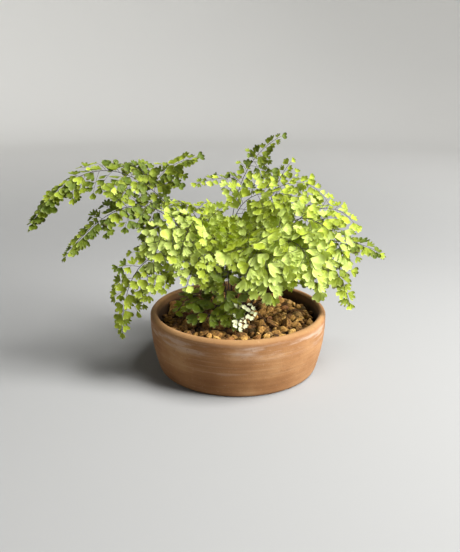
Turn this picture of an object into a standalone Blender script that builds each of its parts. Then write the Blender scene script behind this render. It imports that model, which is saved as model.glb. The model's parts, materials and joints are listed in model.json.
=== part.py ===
# A maidenhair fern in a shallow terracotta bowl, on its own base, in metres with +Z up.
# The origin is the centre of the bowl's flat underside.

import bpy
import bmesh
import numpy as np
from mathutils.bvhtree import BVHTree
from mathutils.geometry import delaunay_2d_cdt

MM = 0.001
GAP = 0.3  # mm left between neighbouring bodies

# The bowl, in mm.
RIM_RADIUS = 95.0
POT_HEIGHT = 63.8
BASE_RADIUS = 86.1
WALL_BULGE = 2.9
LIP_RADIUS = 4.6
MOUTH_RADIUS = 87.4
FLOOR_THICKNESS = 8.5
POT_SIDES = 40
SOIL_SIDES = 24
DRAIN_RADIUS = 5.0
DRAIN_RING = 30.0

# The filling: soil up to a level, gravel over it, and a mound in the gravel that carries the stems.
SOIL_TOP = 45.0
GRAVEL_TOP = 52.5
GRAVEL_RADIUS = 85.7
GRAIN_SPACING = 14.2
GRAIN_ASTRAY = 1.7
GRAIN_SHRINK = 0.8
GRAIN_TILT = 0.16
GROOVE_DEPTH = 4.6
SMALLEST_EDGE = 1.4
HOLE_EDGE = 1.08  # the gravel's inner edge, as a multiple of the mound's footprint
MOUND_CENTRE = (-5.0, 14.0)
MOUND_RADII = (27.0, 22.0)
MOUND_SIDES = 20
MOUND_STEPS = ((0.97, 0.3), (0.98, 8.0), (0.90, 12.0), (0.68, 15.2), (0.36, 18.0))  # share, rise

# The fern, in mm. Blades keep one thickness; ribs are a little stouter than what they carry.
BLADE_THICKNESS = 0.7
RIB_WIDTH = 1.3
RIB_THICKNESS = 1.0
LONGEST_STEP = 19.0
STALK_RADIUS = 0.9
STALK_SIDES = 5
STALK_STEPS = 5
STALK_FOOT = 56.0
HOLE_RADIUS = 1.5
NECK = 1.1
CLEARANCE = 0.3
FIRST_PITCH = 7.0
LEAF_PITCH = 12.6
SHORTEST_BRANCH = 24.0
LEAF_SCALE = 1.3
SMALLEST_LOBED = 10.5

# One entry for each frond. points: the stalk's foot, two points that steer its curve, and its tip.
# bare: the share of the stalk without leaflets. reach: the longest side branch. fan: the largest
# leaflet. face: the way the blade looks. sprays: long side branches, each from a share of the stalk.
FRONDS = {
    "upper_left": dict(
        points=((-16, 18), (-62, 5, 205), (-140, -10, 268), (-211, -20, 160)),
        bare=0.47, reach=27, fan=11, face=(-0.1, -0.6, 0.8),
        sprays=(dict(at=0.50, points=((-92, 8, 224), (-46, 25, 226)), reach=26),),
    ),
    "mid_left": dict(
        points=((-22, 14), (-62, 0, 215), (-125, -15, 195), (-175, -30, 131)),
        bare=0.42, reach=34, fan=11.5, face=(-0.2, -0.7, 0.6),
    ),
    "low_left": dict(
        points=((-24, 9), (-50, -20, 150), (-114, -40, 160), (-118, -55, 58)),
        bare=0.40, reach=34, fan=12.5, face=(-0.3, -0.9, 0.3),
    ),
    "left_mass": dict(
        points=((-17, 4), (-45, -10, 175), (-75, -30, 195), (-88, -45, 112)),
        bare=0.40, reach=44, fan=13, face=(-0.2, -0.8, 0.5),
    ),
    "centre_left": dict(
        points=((-11, 9), (-22, -5, 175), (-45, -25, 205), (-62, -48, 120)),
        bare=0.42, reach=42, fan=13, face=(-0.1, -0.8, 0.5),
    ),
    "front_left": dict(
        points=((-10, 1), (-14, -22, 140), (-28, -48, 155), (-44, -62, 100)),
        bare=0.42, reach=36, fan=14, face=(-0.1, -0.9, 0.4),
    ),
    "back_left": dict(
        points=((-18, 25), (-30, 40, 150), (-60, 70, 190), (-100, 110, 150)),
        bare=0.45, reach=40, fan=12, face=(-0.2, 0.4, 0.9), pitch=16,
    ),
    "top": dict(
        points=((-10, 23), (-12, 38, 150), (-6, 40, 215), (46, 48, 242)),
        bare=0.60, reach=32, fan=9, face=(-0.1, -0.7, 0.7),
        sprays=(dict(at=0.72, points=((-17, 38, 212), (-41, 32, 194)), reach=18),),
    ),
    "top_right": dict(
        points=((0, 25), (28, 40, 130), (34, 44, 190), (58, 50, 214)),
        bare=0.62, reach=18, fan=9, face=(0, -0.8, 0.6),
        sprays=(dict(at=0.80, points=((78, 38, 210), (98, 26, 172)), reach=18),),
    ),
    "centre_up": dict(
        points=((-4, 17), (-10, 12, 150), (5, 5, 200), (62, -10, 186)),
        bare=0.42, reach=48, fan=13.5, face=(0, -0.5, 0.85),
    ),
    "right_mass": dict(
        points=((7, 12), (30, 10, 160), (75, 0, 200), (112, -12, 122)),
        bare=0.40, reach=50, fan=13.5, face=(0.2, -0.7, 0.65),
    ),
    "right_up": dict(
        points=((6, 23), (40, 25, 150), (90, 20, 198), (126, 15, 152)),
        bare=0.45, reach=40, fan=12, face=(0.2, -0.5, 0.8),
    ),
    "right_out": dict(
        points=((12, 18), (45, 20, 125), (105, 20, 150), (154, 20, 120)),
        bare=0.55, reach=28, fan=12.5, face=(0.1, -0.6, 0.75),
    ),
    "right_low": dict(
        points=((12, 8), (40, 0, 130), (95, -10, 155), (116, -26, 80)),
        bare=0.42, reach=30, fan=12.5, face=(0.3, -0.8, 0.5),
    ),
    "front": dict(
        points=((-3, 6), (5, -15, 150), (20, -55, 175), (32, -64, 94)),
        bare=0.42, reach=44, fan=15, face=(0, -0.9, 0.4),
    ),
    "front_right": dict(
        points=((4, 4), (25, -5, 140), (60, -40, 185), (78, -60, 106)),
        bare=0.40, reach=46, fan=14, face=(0.1, -0.85, 0.5),
    ),
    "back_right": dict(
        points=((3, 30), (20, 50, 140), (50, 85, 180), (80, 120, 140)),
        bare=0.42, reach=44, fan=13, face=(0.2, 0.4, 0.9), pitch=16,
    ),
    "back": dict(
        points=((-7, 30), (-8, 60, 130), (-10, 100, 160), (-12, 140, 112)),
        bare=0.42, reach=40, fan=13, face=(0, 0.5, 0.85), pitch=16,
    ),
    "centre_low": dict(
        points=((-7, 4), (-8, -14, 125), (-12, -36, 140), (-18, -50, 90)),
        bare=0.42, reach=30, fan=12, face=(0, -0.9, 0.4),
    ),
    "low_front": dict(
        points=((-16, -2), (-18, -12, 92), (-22, -30, 100), (-32, -50, 66)),
        bare=0.38, reach=26, fan=15, face=(-0.1, -0.8, 0.6),
    ),
    "low_side": dict(
        points=((-26, 20), (-38, 12, 80), (-54, -6, 84), (-64, -26, 68)),
        bare=0.45, reach=10, fan=11, face=(-0.3, -0.7, 0.6),
    ),
    "young": dict(
        points=((-1, -3), (2, -12, 82), (6, -30, 92), (6, -50, 66)),
        bare=0.3, reach=16, fan=5.5, face=(0, -0.8, 0.6), pitch=6.5,
    ),
}

# Colour and roughness.
MATERIALS = {
    "terracotta": ((0.55, 0.25, 0.12), 0.85),
    "gravel": ((0.42, 0.24, 0.09), 0.9),
    "soil": ((0.06, 0.035, 0.02), 0.95),
    "stalk": ((0.02, 0.012, 0.01), 0.4),
    "leaf": ((0.40, 0.58, 0.08), 0.5),
    "young_leaf": ((0.72, 0.80, 0.42), 0.5),
}

UP = np.array([0.0, 0.0, 1.0])


def unit(v):
    return v / np.linalg.norm(v)


def clear_scene():
    for obj in list(bpy.data.objects):
        bpy.data.objects.remove(obj, do_unlink=True)


def material(name):
    found = bpy.data.materials.get(name)
    if found:
        return found
    colour, roughness = MATERIALS[name]
    made = bpy.data.materials.new(name)
    made.use_nodes = True
    shader = made.node_tree.nodes["Principled BSDF"]
    shader.inputs["Base Color"].default_value = (*colour, 1.0)
    shader.inputs["Roughness"].default_value = roughness
    return made


def shade_round(mesh, sharpest):
    # Smooth shading, but for edges that turn by more than an angle in degrees.
    mesh.shade_smooth()
    mesh.set_sharp_from_angle(angle=np.radians(sharpest))


def add_object(name, points, faces, slot):
    # Points come in mm. Faces are turned to look outward.
    mesh = bpy.data.meshes.new(name)
    mesh.from_pydata((np.asarray(points) * MM).tolist(), [], faces)
    made = bmesh.new()
    made.from_mesh(mesh)
    bmesh.ops.recalc_face_normals(made, faces=made.faces)
    made.to_mesh(mesh)
    made.free()
    mesh.materials.append(material(slot))
    obj = bpy.data.objects.new(name, mesh)
    bpy.context.scene.collection.objects.link(obj)
    return obj


def bake(obj):
    # The object's mesh becomes what its modifiers make of it.
    bpy.context.view_layer.update()
    graph = bpy.context.evaluated_depsgraph_get()
    obj.data = bpy.data.meshes.new_from_object(obj.evaluated_get(graph))
    obj.modifiers.clear()


def cut_away(obj, solver, tools):
    # Every tool is cut from the object at once and removed.
    bag = bpy.data.collections.new("tools")
    bpy.context.scene.collection.children.link(bag)
    for tool in tools:
        bpy.context.scene.collection.objects.unlink(tool)
        bag.objects.link(tool)
    cut = obj.modifiers.new("cut", "BOOLEAN")
    cut.operand_type = "COLLECTION"
    cut.collection = bag
    cut.operation = "DIFFERENCE"
    cut.solver = solver
    bake(obj)
    for tool in tools:
        bpy.data.objects.remove(tool, do_unlink=True)
    bpy.data.collections.remove(bag)


def ring(radius, height, sides, centre=(0.0, 0.0)):
    turn = np.arange(sides) * 2 * np.pi / sides
    return np.stack(
        [centre[0] + radius * np.cos(turn), centre[1] + radius * np.sin(turn), np.full(sides, height)], 1
    )


def stacked(rings):
    # Faces between rings of the same count, with both ends closed.
    sides = len(rings[0])
    faces = []
    for level in range(len(rings) - 1):
        for k in range(sides):
            a = level * sides + k
            b = level * sides + (k + 1) % sides
            faces.append((a, b, b + sides, a + sides))
    faces.append(tuple(range(sides)))
    faces.append(tuple(range((len(rings) - 1) * sides, len(rings) * sides)))
    return np.concatenate(rings), faces


def turned(name, section, sides, slot):
    # A half-section from the axis, up inside, down outside and back to the axis, spun round Z.
    mesh = bpy.data.meshes.new(name)
    points = [(radius * MM, 0.0, height * MM) for radius, height in section]
    mesh.from_pydata(points, [(k, k + 1) for k in range(len(points) - 1)], [])
    mesh.materials.append(material(slot))
    obj = bpy.data.objects.new(name, mesh)
    bpy.context.scene.collection.objects.link(obj)
    screw = obj.modifiers.new("turn", "SCREW")
    screw.steps = sides
    screw.render_steps = sides
    screw.use_merge_vertices = True
    screw.merge_threshold = 0.00005
    bake(obj)
    shade_round(obj.data, 35)
    return obj


def pot_outer(height):
    # The outside flares to the rim and swells a little between foot and rim.
    share = height / POT_HEIGHT
    return BASE_RADIUS + (RIM_RADIUS - BASE_RADIUS) * share + WALL_BULGE * 4 * share * (1 - share)


def pot_section():
    inside = [(0.0, FLOOR_THICKNESS), (MOUTH_RADIUS - 11.0, FLOOR_THICKNESS)]
    inside += [(MOUTH_RADIUS - 5.0, 14.0), (MOUTH_RADIUS - 1.5, 36.0)]
    inside += [(MOUTH_RADIUS, POT_HEIGHT - 2.6), (MOUTH_RADIUS + 0.6, POT_HEIGHT - 0.7)]
    shoulder = POT_HEIGHT - LIP_RADIUS
    middle = pot_outer(shoulder) - LIP_RADIUS
    turns = np.radians((90, 45))
    lip = [(middle + LIP_RADIUS * np.cos(t), shoulder + LIP_RADIUS * np.sin(t)) for t in turns]
    outside = [(pot_outer(height), height) for height in (shoulder, 40.0, 18.0)]
    return inside + lip + outside + [(BASE_RADIUS, 1.5), (BASE_RADIUS - 1.6, 0.0), (0.0, 0.0)]


def make_pot():
    pot = turned("pot", pot_section(), POT_SIDES, "terracotta")
    for k in range(3):
        angle = np.radians(90 + 120 * k)
        centre = (DRAIN_RING * np.cos(angle), DRAIN_RING * np.sin(angle))
        ends = [ring(DRAIN_RADIUS, height, 12, centre) for height in (-2.0, FLOOR_THICKNESS + 2)]
        cutter = add_object("drain", *stacked(ends), "terracotta")
        cutter.hide_render = True
        cutter.display_type = "WIRE"
        cut = pot.modifiers.new("drain", "BOOLEAN")
        cut.operation = "DIFFERENCE"
        cut.object = cutter


def make_soil():
    section = [(0.0, FLOOR_THICKNESS + GAP), (MOUTH_RADIUS - 12.5, FLOOR_THICKNESS + GAP)]
    section += [(MOUTH_RADIUS - 6.5, 15.0), (MOUTH_RADIUS - 3.5, 36.0)]
    section += [(MOUTH_RADIUS - 3.0, SOIL_TOP), (0.0, SOIL_TOP)]
    turned("soil", section[::-1], SOIL_SIDES, "soil")


def mound_reach(points):
    # 1 on the edge of the mound's footprint, less inside it.
    return np.hypot(
        (points[:, 0] - MOUND_CENTRE[0]) / MOUND_RADII[0], (points[:, 1] - MOUND_CENTRE[1]) / MOUND_RADII[1]
    )


def make_mound():
    # Smooth where it stands in the gravel, rough above it.
    draws = np.random.default_rng(71)
    turn = np.arange(MOUND_SIDES) * 2 * np.pi / MOUND_SIDES
    rings = []
    for share, rise in MOUND_STEPS:
        above = rise > GRAVEL_TOP - SOIL_TOP + 1
        reach = share * (1 - 0.05 * draws.random(MOUND_SIDES) * above)
        x = MOUND_CENTRE[0] + MOUND_RADII[0] * reach * np.cos(turn)
        y = MOUND_CENTRE[1] + MOUND_RADII[1] * reach * np.sin(turn)
        rings.append(np.stack([x, y, SOIL_TOP + rise + draws.uniform(-0.9, 0.9, MOUND_SIDES) * above], 1))
    return add_object("root_mound", *stacked(rings), "soil")


def grain_centres():
    # A sunflower spiral, each centre a little astray, and a mirror image of those near an edge.
    draws = np.random.default_rng(5)
    count = int(np.pi * GRAVEL_RADIUS**2 / GRAIN_SPACING**2)
    k = np.arange(count) + 0.5
    radius = (GRAVEL_RADIUS - 1) * np.sqrt(k / count)
    turn = k * np.pi * (3 - np.sqrt(5))
    centres = np.stack([radius * np.cos(turn), radius * np.sin(turn)], 1)
    centres += draws.uniform(-GRAIN_ASTRAY, GRAIN_ASTRAY, centres.shape)
    in_ring = (np.hypot(*centres.T) < GRAVEL_RADIUS - 3.5) & (mound_reach(centres) > HOLE_EDGE + 0.08)
    centres = centres[in_ring]
    reach = np.hypot(*centres.T)[:, None]
    inner = mound_reach(centres)[:, None]
    middle = np.array(MOUND_CENTRE)
    outside = centres * (2 * GRAVEL_RADIUS / reach - 1)
    inside = middle + (centres - middle) * (2 * HOLE_EDGE / inner - 1)
    near_rim = reach[:, 0] > GRAVEL_RADIUS - 1.5 * GRAIN_SPACING
    near_mound = inner[:, 0] < HOLE_EDGE + 0.67
    return centres, np.concatenate([outside[near_rim], inside[near_mound]])


def junctions(points, triangles, real):
    # The centre of each triangle's circle, set on the edge of the gravel where it belongs to an edge.
    a, b, c = (points[triangles[:, k]] for k in range(3))
    ab = b - a
    ac = c - a
    cross = 2 * (ab[:, 0] * ac[:, 1] - ab[:, 1] * ac[:, 0])
    ab2 = (ab**2).sum(1)
    ac2 = (ac**2).sum(1)
    offset = np.stack([ac[:, 1] * ab2 - ab[:, 1] * ac2, ab[:, 0] * ac2 - ac[:, 0] * ab2], 1)
    centre = a + offset / cross[:, None]
    middle = np.array(MOUND_CENTRE)
    edge = (triangles >= real).any(1)
    reach = np.hypot(*centre.T)
    at_rim = edge & (reach > GRAVEL_RADIUS * 0.8)
    centre[at_rim] *= (GRAVEL_RADIUS / reach[at_rim])[:, None]
    at_mound = edge & ~at_rim
    inner = mound_reach(centre)
    centre[at_mound] = middle + (centre[at_mound] - middle) * (HOLE_EDGE / inner[at_mound])[:, None]
    return centre


def make_gravel():
    draws = np.random.default_rng(9)
    centres, mirrored = grain_centres()
    points = np.concatenate([centres, mirrored])
    found = delaunay_2d_cdt([tuple(p) for p in points], [], [], 0, 1e-6)
    triangles = np.array([face for face in found[2] if len(face) == 3])
    points = np.array([tuple(p) for p in found[0]])
    corners = junctions(points, triangles, len(centres))
    used = np.nonzero((triangles < len(centres)).any(1))[0]
    same = merged(corners, used)
    made = bmesh.new()
    low = {}
    for index in sorted(set(same.values())):
        x, y = corners[index]
        height = GRAVEL_TOP - GROOVE_DEPTH + draws.uniform(-0.8, 0.8)
        low[index] = made.verts.new((x * MM, y * MM, height * MM))
    for grain in range(len(centres)):
        around = np.array(sorted({same[i] for i in np.nonzero((triangles == grain).any(1))[0]}))
        offset = corners[around] - centres[grain]
        around = around[np.argsort(np.arctan2(offset[:, 1], offset[:, 0]))]
        add_grain(made, corners[around], [low[i] for i in around], draws)
    close_below(made, (SOIL_TOP + GAP) * MM)
    mesh = bpy.data.meshes.new("gravel")
    made.to_mesh(mesh)
    made.free()
    mesh.materials.append(material("gravel"))
    bpy.context.scene.collection.objects.link(bpy.data.objects.new("gravel", mesh))


def merged(corners, used):
    # Junctions that nearly meet become one.
    kept = []
    same = {}
    for index in used:
        close = [other for other in kept if np.hypot(*(corners[other] - corners[index])) < SMALLEST_EDGE]
        if not close:
            kept.append(index)
        same[index] = close[0] if close else index
    return same


def add_grain(made, corners, low, draws):
    # A tilted top drawn in from the shared low corners, with sloping sides down to them.
    middle = corners.mean(0)
    tilt = draws.uniform(-GRAIN_TILT, GRAIN_TILT, 2)
    banked = 3.0 * max(0.0, 1.6 - float(mound_reach(middle[None])[0]))
    rise = GRAVEL_TOP + draws.uniform(-1.4, 1.6) + banked
    top = []
    for corner in corners:
        spot = middle + (corner - middle) * (GRAIN_SHRINK - draws.uniform(0, 0.16))
        height = rise + tilt @ (spot - middle)
        top.append(made.verts.new((spot[0] * MM, spot[1] * MM, height * MM)))
    made.faces.new(top)
    for k in range(len(top)):
        after = (k + 1) % len(top)
        made.faces.new((low[k], low[after], top[after], top[k]))


def close_below(made, height):
    # Walls down from the open edges, and one flat floor between them.
    edges = [edge for edge in made.edges if edge.is_boundary]
    grown = bmesh.ops.extrude_edge_only(made, edges=edges)["geom"]
    for item in grown:
        if isinstance(item, bmesh.types.BMVert):
            item.co.z = height
    floor = [item for item in grown if isinstance(item, bmesh.types.BMEdge) and item.is_boundary]
    bmesh.ops.triangle_fill(made, use_beauty=True, use_dissolve=False, edges=floor)
    bmesh.ops.triangulate(made, faces=made.faces)
    bmesh.ops.recalc_face_normals(made, faces=made.faces)


def carried(face, points):
    # A face set two thirds along the curve and carried both ways along it without twisting.
    along = np.gradient(points, axis=0)
    along /= np.linalg.norm(along, axis=1)[:, None]
    normals = np.zeros(points.shape)
    middle = len(points) * 2 // 3
    for way in (range(middle, len(points)), range(middle, -1, -1)):
        normal = face
        for k in way:
            normal = unit(normal - (normal @ along[k]) * along[k])
            normals[k] = normal
    return normals


class Rib:
    # A curve with a blade's face, sampled as points with their distance along it.
    def __init__(self, frond, level, points, face, reach, key):
        self.frond = frond
        self.level = level
        self.points = points
        self.along = np.concatenate([[0], np.cumsum(np.linalg.norm(np.diff(points, axis=0), axis=1))])
        self.length = self.along[-1]
        self.normals = carried(face, points)
        self.reach = reach
        self.key = key
        self.start = 0.0
        self.root = 0.0
        self.side = 0
        self.leafy = None
        self.step = LONGEST_STEP
        self.leaves = []
        self.children = []

    def at(self, distance):
        spot = np.array([np.interp(distance, self.along, self.points[:, k]) for k in range(3)])
        step = 0.02 * self.length
        after = np.array([np.interp(distance + step, self.along, self.points[:, k]) for k in range(3)])
        before = np.array([np.interp(distance - step, self.along, self.points[:, k]) for k in range(3)])
        along = unit(after - before)
        normal = np.array([np.interp(distance, self.along, self.normals[:, k]) for k in range(3)])
        normal = unit(normal - (normal @ along) * along)
        return spot, along, normal, np.cross(normal, along)


def bezier(ends, count):
    u = np.linspace(0, 1, count)[:, None]
    v = 1 - u
    a, b, c, d = ends
    return v**3 * a + 3 * v * v * u * b + 3 * v * u * u * c + u**3 * d


def main_ribs(name, order):
    # The stalk, and each long spray that leaves it.
    plan = FRONDS[name]
    foot = np.array([*plan["points"][0], STALK_FOOT], float)
    ends = [foot] + [np.array(p, float) for p in plan["points"][1:]]
    stalk = Rib(name, 0, bezier(ends, 49), unit(np.array(plan["face"], float)), plan["reach"], (order, 0))
    stalk.start = plan["bare"] * stalk.length
    stalk.step = 0.7 * LONGEST_STEP
    ribs = [stalk]
    for index, spray in enumerate(plan.get("sprays", ())):
        begin = stalk.at(spray["at"] * stalk.length)[0]
        bend = np.array(spray["points"][0], float)
        tip = np.array(spray["points"][1], float)
        ends = [begin, begin * 0.4 + bend * 0.6, bend * 0.6 + tip * 0.4, tip]
        face = unit(np.array(plan["face"], float))
        rib = Rib(name, 1, bezier(ends, 25), face, spray["reach"], (order, 100 + index))
        rib.start = 0.12 * rib.length
        rib.step = 0.4 * LONGEST_STEP
        rib.root = spray["at"] * stalk.length
        rib.side = 1 if (bend - begin) @ stalk.at(rib.root)[3] > 0 else -1
        stalk.children.append(rib)
        ribs.append(rib)
    return ribs


def branch_curve(spot, direction, length, sag):
    u = np.linspace(0, 1, 9)[:, None]
    return spot + direction * length * u - UP * sag * length * u**2


def box_tube(points, width):
    # A square tube as points and faces, used only to test for touching.
    along = np.gradient(points, axis=0)
    along /= np.linalg.norm(along, axis=1)[:, None]
    side = np.cross(along, UP + 0.01)
    side /= np.linalg.norm(side, axis=1)[:, None]
    over = np.cross(side, along)
    half = width / 2
    corners = [points + half * (a * side + b * over) for a, b in ((1, 1), (-1, 1), (-1, -1), (1, -1))]
    rings = [np.array([corner[k] for corner in corners]) for k in range(len(points))]
    return stacked(rings)


class Leaf:
    # A leaflet by its place and side on a rib. The draws turn, droop, roll and wave it.
    def __init__(self, rib, place, side, size, draws):
        self.rib = rib
        self.place = place
        self.side = side
        self.size = size
        self.draws = draws
        self.trims = 0


class Room:
    # What already stands in the plant, so that nothing new runs through it.
    def __init__(self):
        self.trees = []
        self.owners = []
        self.middles = np.empty((0, 3))
        self.reaches = np.empty(0)

    def add(self, points, faces, owner):
        points = np.asarray(points)
        middle = points.mean(0)
        self.trees.append(BVHTree.FromPolygons(points.tolist(), faces))
        self.owners.append(owner)
        self.middles = np.concatenate([self.middles, middle[None]])
        self.reaches = np.append(self.reaches, np.linalg.norm(points - middle, axis=1).max())

    def free(self, points, faces, skip):
        points = np.asarray(points)
        middle = points.mean(0)
        reach = np.linalg.norm(points - middle, axis=1).max()
        near = np.nonzero(np.linalg.norm(self.middles - middle, axis=1) < self.reaches + reach)[0]
        tree = None
        for index in near:
            if skip(self.owners[index]):
                continue
            tree = tree or BVHTree.FromPolygons(points.tolist(), faces)
            if tree.overlap(self.trees[index]):
                return False
        return True


def clear_of_pot(points):
    # Above the gravel inside the bowl, above the rim over the wall, and outside the wall beside it.
    reach = np.hypot(points[:, 0], points[:, 1])
    height = points[:, 2]
    mound = mound_reach(points) < 1.1
    inside = (reach < MOUTH_RADIUS - 1) & (height > np.where(mound, SOIL_TOP + 21, GRAVEL_TOP + 6))
    above = (reach >= MOUTH_RADIUS - 1) & (height > POT_HEIGHT + 1)
    beside = reach > RIM_RADIUS + 1.5
    return bool((inside | above | beside).all())


def rib_body(rib):
    # The rib with the clearance round it. A stalk's bare part bends only where its solid does.
    marks = np.linspace(2.0, rib.length, max(4, int(rib.length / 5)))
    if rib.level == 0:
        bare = rib.start - 4
        marks = np.concatenate([np.linspace(0, bare, STALK_STEPS), marks[marks > bare + 2]])
    return box_tube(np.array([rib.at(mark)[0] for mark in marks]), 2 * STALK_RADIUS + CLEARANCE)


def branches(rib, room):
    # Side branches by turns left and right, longest near the start, each bent until it is clear.
    draws = np.random.default_rng([11, *rib.key])
    side = 1 if draws.random() < 0.5 else -1
    total = rib.length - rib.start
    place = rib.start
    taken = [child.root for child in rib.children]
    while place < rib.length - 5:
        share = (rib.length - place) / total
        length = rib.reach * min(1.0, share**0.8 * 1.05) * draws.uniform(0.85, 1.15)
        spread, lean, sag = draws.uniform(-8, 8), draws.uniform(-0.15, 0.15), draws.uniform(0.17, 0.33)
        twist = 0.25 * draws.standard_normal(3)
        if length < SHORTEST_BRANCH:
            break
        spot, along, normal, over = rib.at(place)
        crowded = any(abs(place - root) < 4 for root in taken)
        for bend in () if crowded else (0, 0.2, -0.2, 0.4, -0.4, 0.6):
            angle = np.radians(62 + spread + 14 * bend)
            direction = unit(np.cos(angle) * along + side * np.sin(angle) * over + (lean + bend) * normal)
            curve = branch_curve(spot, direction, length, sag)
            key = (*rib.key, len(rib.children) + 1)
            child = Rib(rib.frond, rib.level + 1, curve, unit(normal + twist), 0.42 * length, key)
            body = rib_body(child)
            if clear_of_pot(curve) and room.free(*body, lambda owner: owner == (rib.frond, rib.key)):
                child.start = min(7.0, 0.25 * length)
                child.root = place
                child.side = side
                rib.children.append(child)
                room.add(*body, (rib.frond, child.key))
                break
        place += max(FIRST_PITCH, 0.27 * length) * draws.uniform(0.9, 1.1)
        side = -side
    rib.leafy = place


def leaf_frame(leaf):
    # The way a leaflet points, the way its outer edge lies, and its face, like shingles along a rib.
    spot, along, normal, over = leaf.rib.at(leaf.place)
    turn, droop, tilt, _ = leaf.draws
    if leaf.side:
        angle = np.radians(58 + 10 * turn)
        axis = np.cos(angle) * along + leaf.side * np.sin(angle) * over
    else:
        axis = along
    axis = unit(axis - UP * (0.22 + 0.14 * droop))
    face = unit(normal - (normal @ axis) * axis)
    edge = np.cross(face, axis) * (-leaf.side or 1)
    roll = np.radians(20 + 10 * tilt)
    return spot, axis, edge * np.cos(roll) + face * np.sin(roll), face * np.cos(roll) - edge * np.sin(roll)


# Where a leaflet's outer edge turns, as (angle from its axis, share of its size): two lobes and a notch.
LARGE_FAN = ((-50, 0.80), (-29, 1.0), (-4, 0.84), (21, 1.0), (44, 0.84))
SMALL_FAN = ((-47, 0.88), (-24, 1.0), (2, 0.80), (37, 0.98))


def fan_outline(leaf):
    spot, axis, edge, face = leaf_frame(leaf)
    neck = spot + axis * RIB_WIDTH * 0.5
    points = []
    for k, (angle, share) in enumerate(LARGE_FAN if leaf.size > SMALLEST_LOBED else SMALL_FAN):
        turn = np.radians(angle * (1.0 if leaf.side else 0.82))
        wave = 0.05 * leaf.size * leaf.draws[3] * (-1, 1, 0.4, -1, 1)[k]
        reach = leaf.size * share
        points.append(neck + reach * (np.cos(turn) * axis + np.sin(turn) * edge) + wave * face)
    return neck, np.array(points), axis, edge, face


def leaf_body(leaf):
    # The leaflet with the clearance round it, as a closed shape.
    neck, points, axis, edge, face = fan_outline(leaf)
    foot = np.array([neck + axis - edge * 0.6, neck + axis + edge * 0.6])
    loop = np.concatenate([foot[:1], points, foot[1:]])
    half = face * (BLADE_THICKNESS + CLEARANCE) / 2
    count = len(loop)
    faces = [(0, k, k + 1) for k in range(1, count - 1)]
    faces += [(a + count, c + count, b + count) for a, b, c in faces]
    faces += [(k, (k + 1) % count, (k + 1) % count + count, k + count) for k in range(count)]
    return np.concatenate([loop + half, loop - half]), faces


def leaves(rib, room):
    # Leaflets by turns left and right and one at the tip, each turned or trimmed until it is clear.
    plan = FRONDS[rib.frond]
    draws = np.random.default_rng([23, *rib.key])
    pitch = plan.get("pitch", LEAF_PITCH)
    side = 1 if draws.random() < 0.5 else -1
    place = rib.leafy or rib.start
    wanted = []
    while place < rib.length - 0.5 * pitch:
        left = rib.length - place
        size = plan["fan"] * LEAF_SCALE * (0.55 + 0.45 * min(1, left / 40)) * draws.uniform(0.85, 1.15)
        wanted.append((place, side, size))
        place += pitch * draws.uniform(0.85, 1.1)
        side = -side
    wanted.append((rib.length, 0, plan["fan"] * LEAF_SCALE * 0.6 * draws.uniform(0.9, 1.2)))
    for place, side, size in wanted:
        shape = draws.uniform(-1, 1, 4)
        for trim in (1.0, 1.0, 1.0, 0.9, 0.9, 0.8, 0.8, 0.7, 0.62):
            leaf = Leaf(rib, place, side, size * trim, shape)
            body = leaf_body(leaf)
            if clear_of_pot(body[0]) and room.free(*body, lambda owner: owner == (rib.frond, rib.key)):
                rib.leaves.append(leaf)
                room.add(*body, (rib.frond, (*rib.key, "leaf", place)))
                break
            shape = np.clip(shape * 0.3 + draws.uniform(-1.6, 1.6, 4), -2, 2)
            shape[3] = np.clip(shape[3], -1, 1)


class Sheet:
    # A branching blade of one thickness, held as an upper and a lower point for each place on it.
    def __init__(self):
        self.upper = []
        self.lower = []
        self.flat = []
        self.rim = []
        self.flat_owners = []
        self.rim_owners = []

    def add(self, spot, normal, thickness):
        self.upper.append(spot + normal * thickness / 2)
        self.lower.append(spot - normal * thickness / 2)
        return len(self.upper) - 1

    def add_faces(self, flat, rim, owner):
        self.flat += flat
        self.rim += rim
        self.flat_owners += [owner] * len(flat)
        self.rim_owners += [owner] * len(rim)

    def body(self):
        total = len(self.upper)
        faces = self.flat + [(c + total, b + total, a + total) for a, b, c in self.flat]
        faces += [(a, b, b + total) for a, b in self.rim]
        faces += [(a, b + total, a + total) for a, b in self.rim]
        return np.array(self.upper + self.lower), faces

    def owners(self):
        return self.flat_owners * 2 + self.rim_owners * 2


def rib_marks(rib, side):
    # Distances along one edge of the rib, each foot of a leaflet or branch giving two, as (mark, owner).
    feet = [(leaf.place, leaf) for leaf in rib.leaves if leaf.side == side]
    feet += [(child.root, child) for child in rib.children if child.side == side]
    marks = []
    last = 0.0 if rib.level else rib.start - 4
    for place, owner in sorted(feet, key=lambda foot: foot[0]) + [(rib.length, None)]:
        between = int((place - last) / rib.step)
        marks += [(last + (place - last) * (k + 1) / (between + 1), None) for k in range(between)]
        if owner is not None:
            marks += [(place - NECK / 2, owner), (place + NECK / 2, None)]
        last = place
    return marks + [(rib.length, None)]


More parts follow.
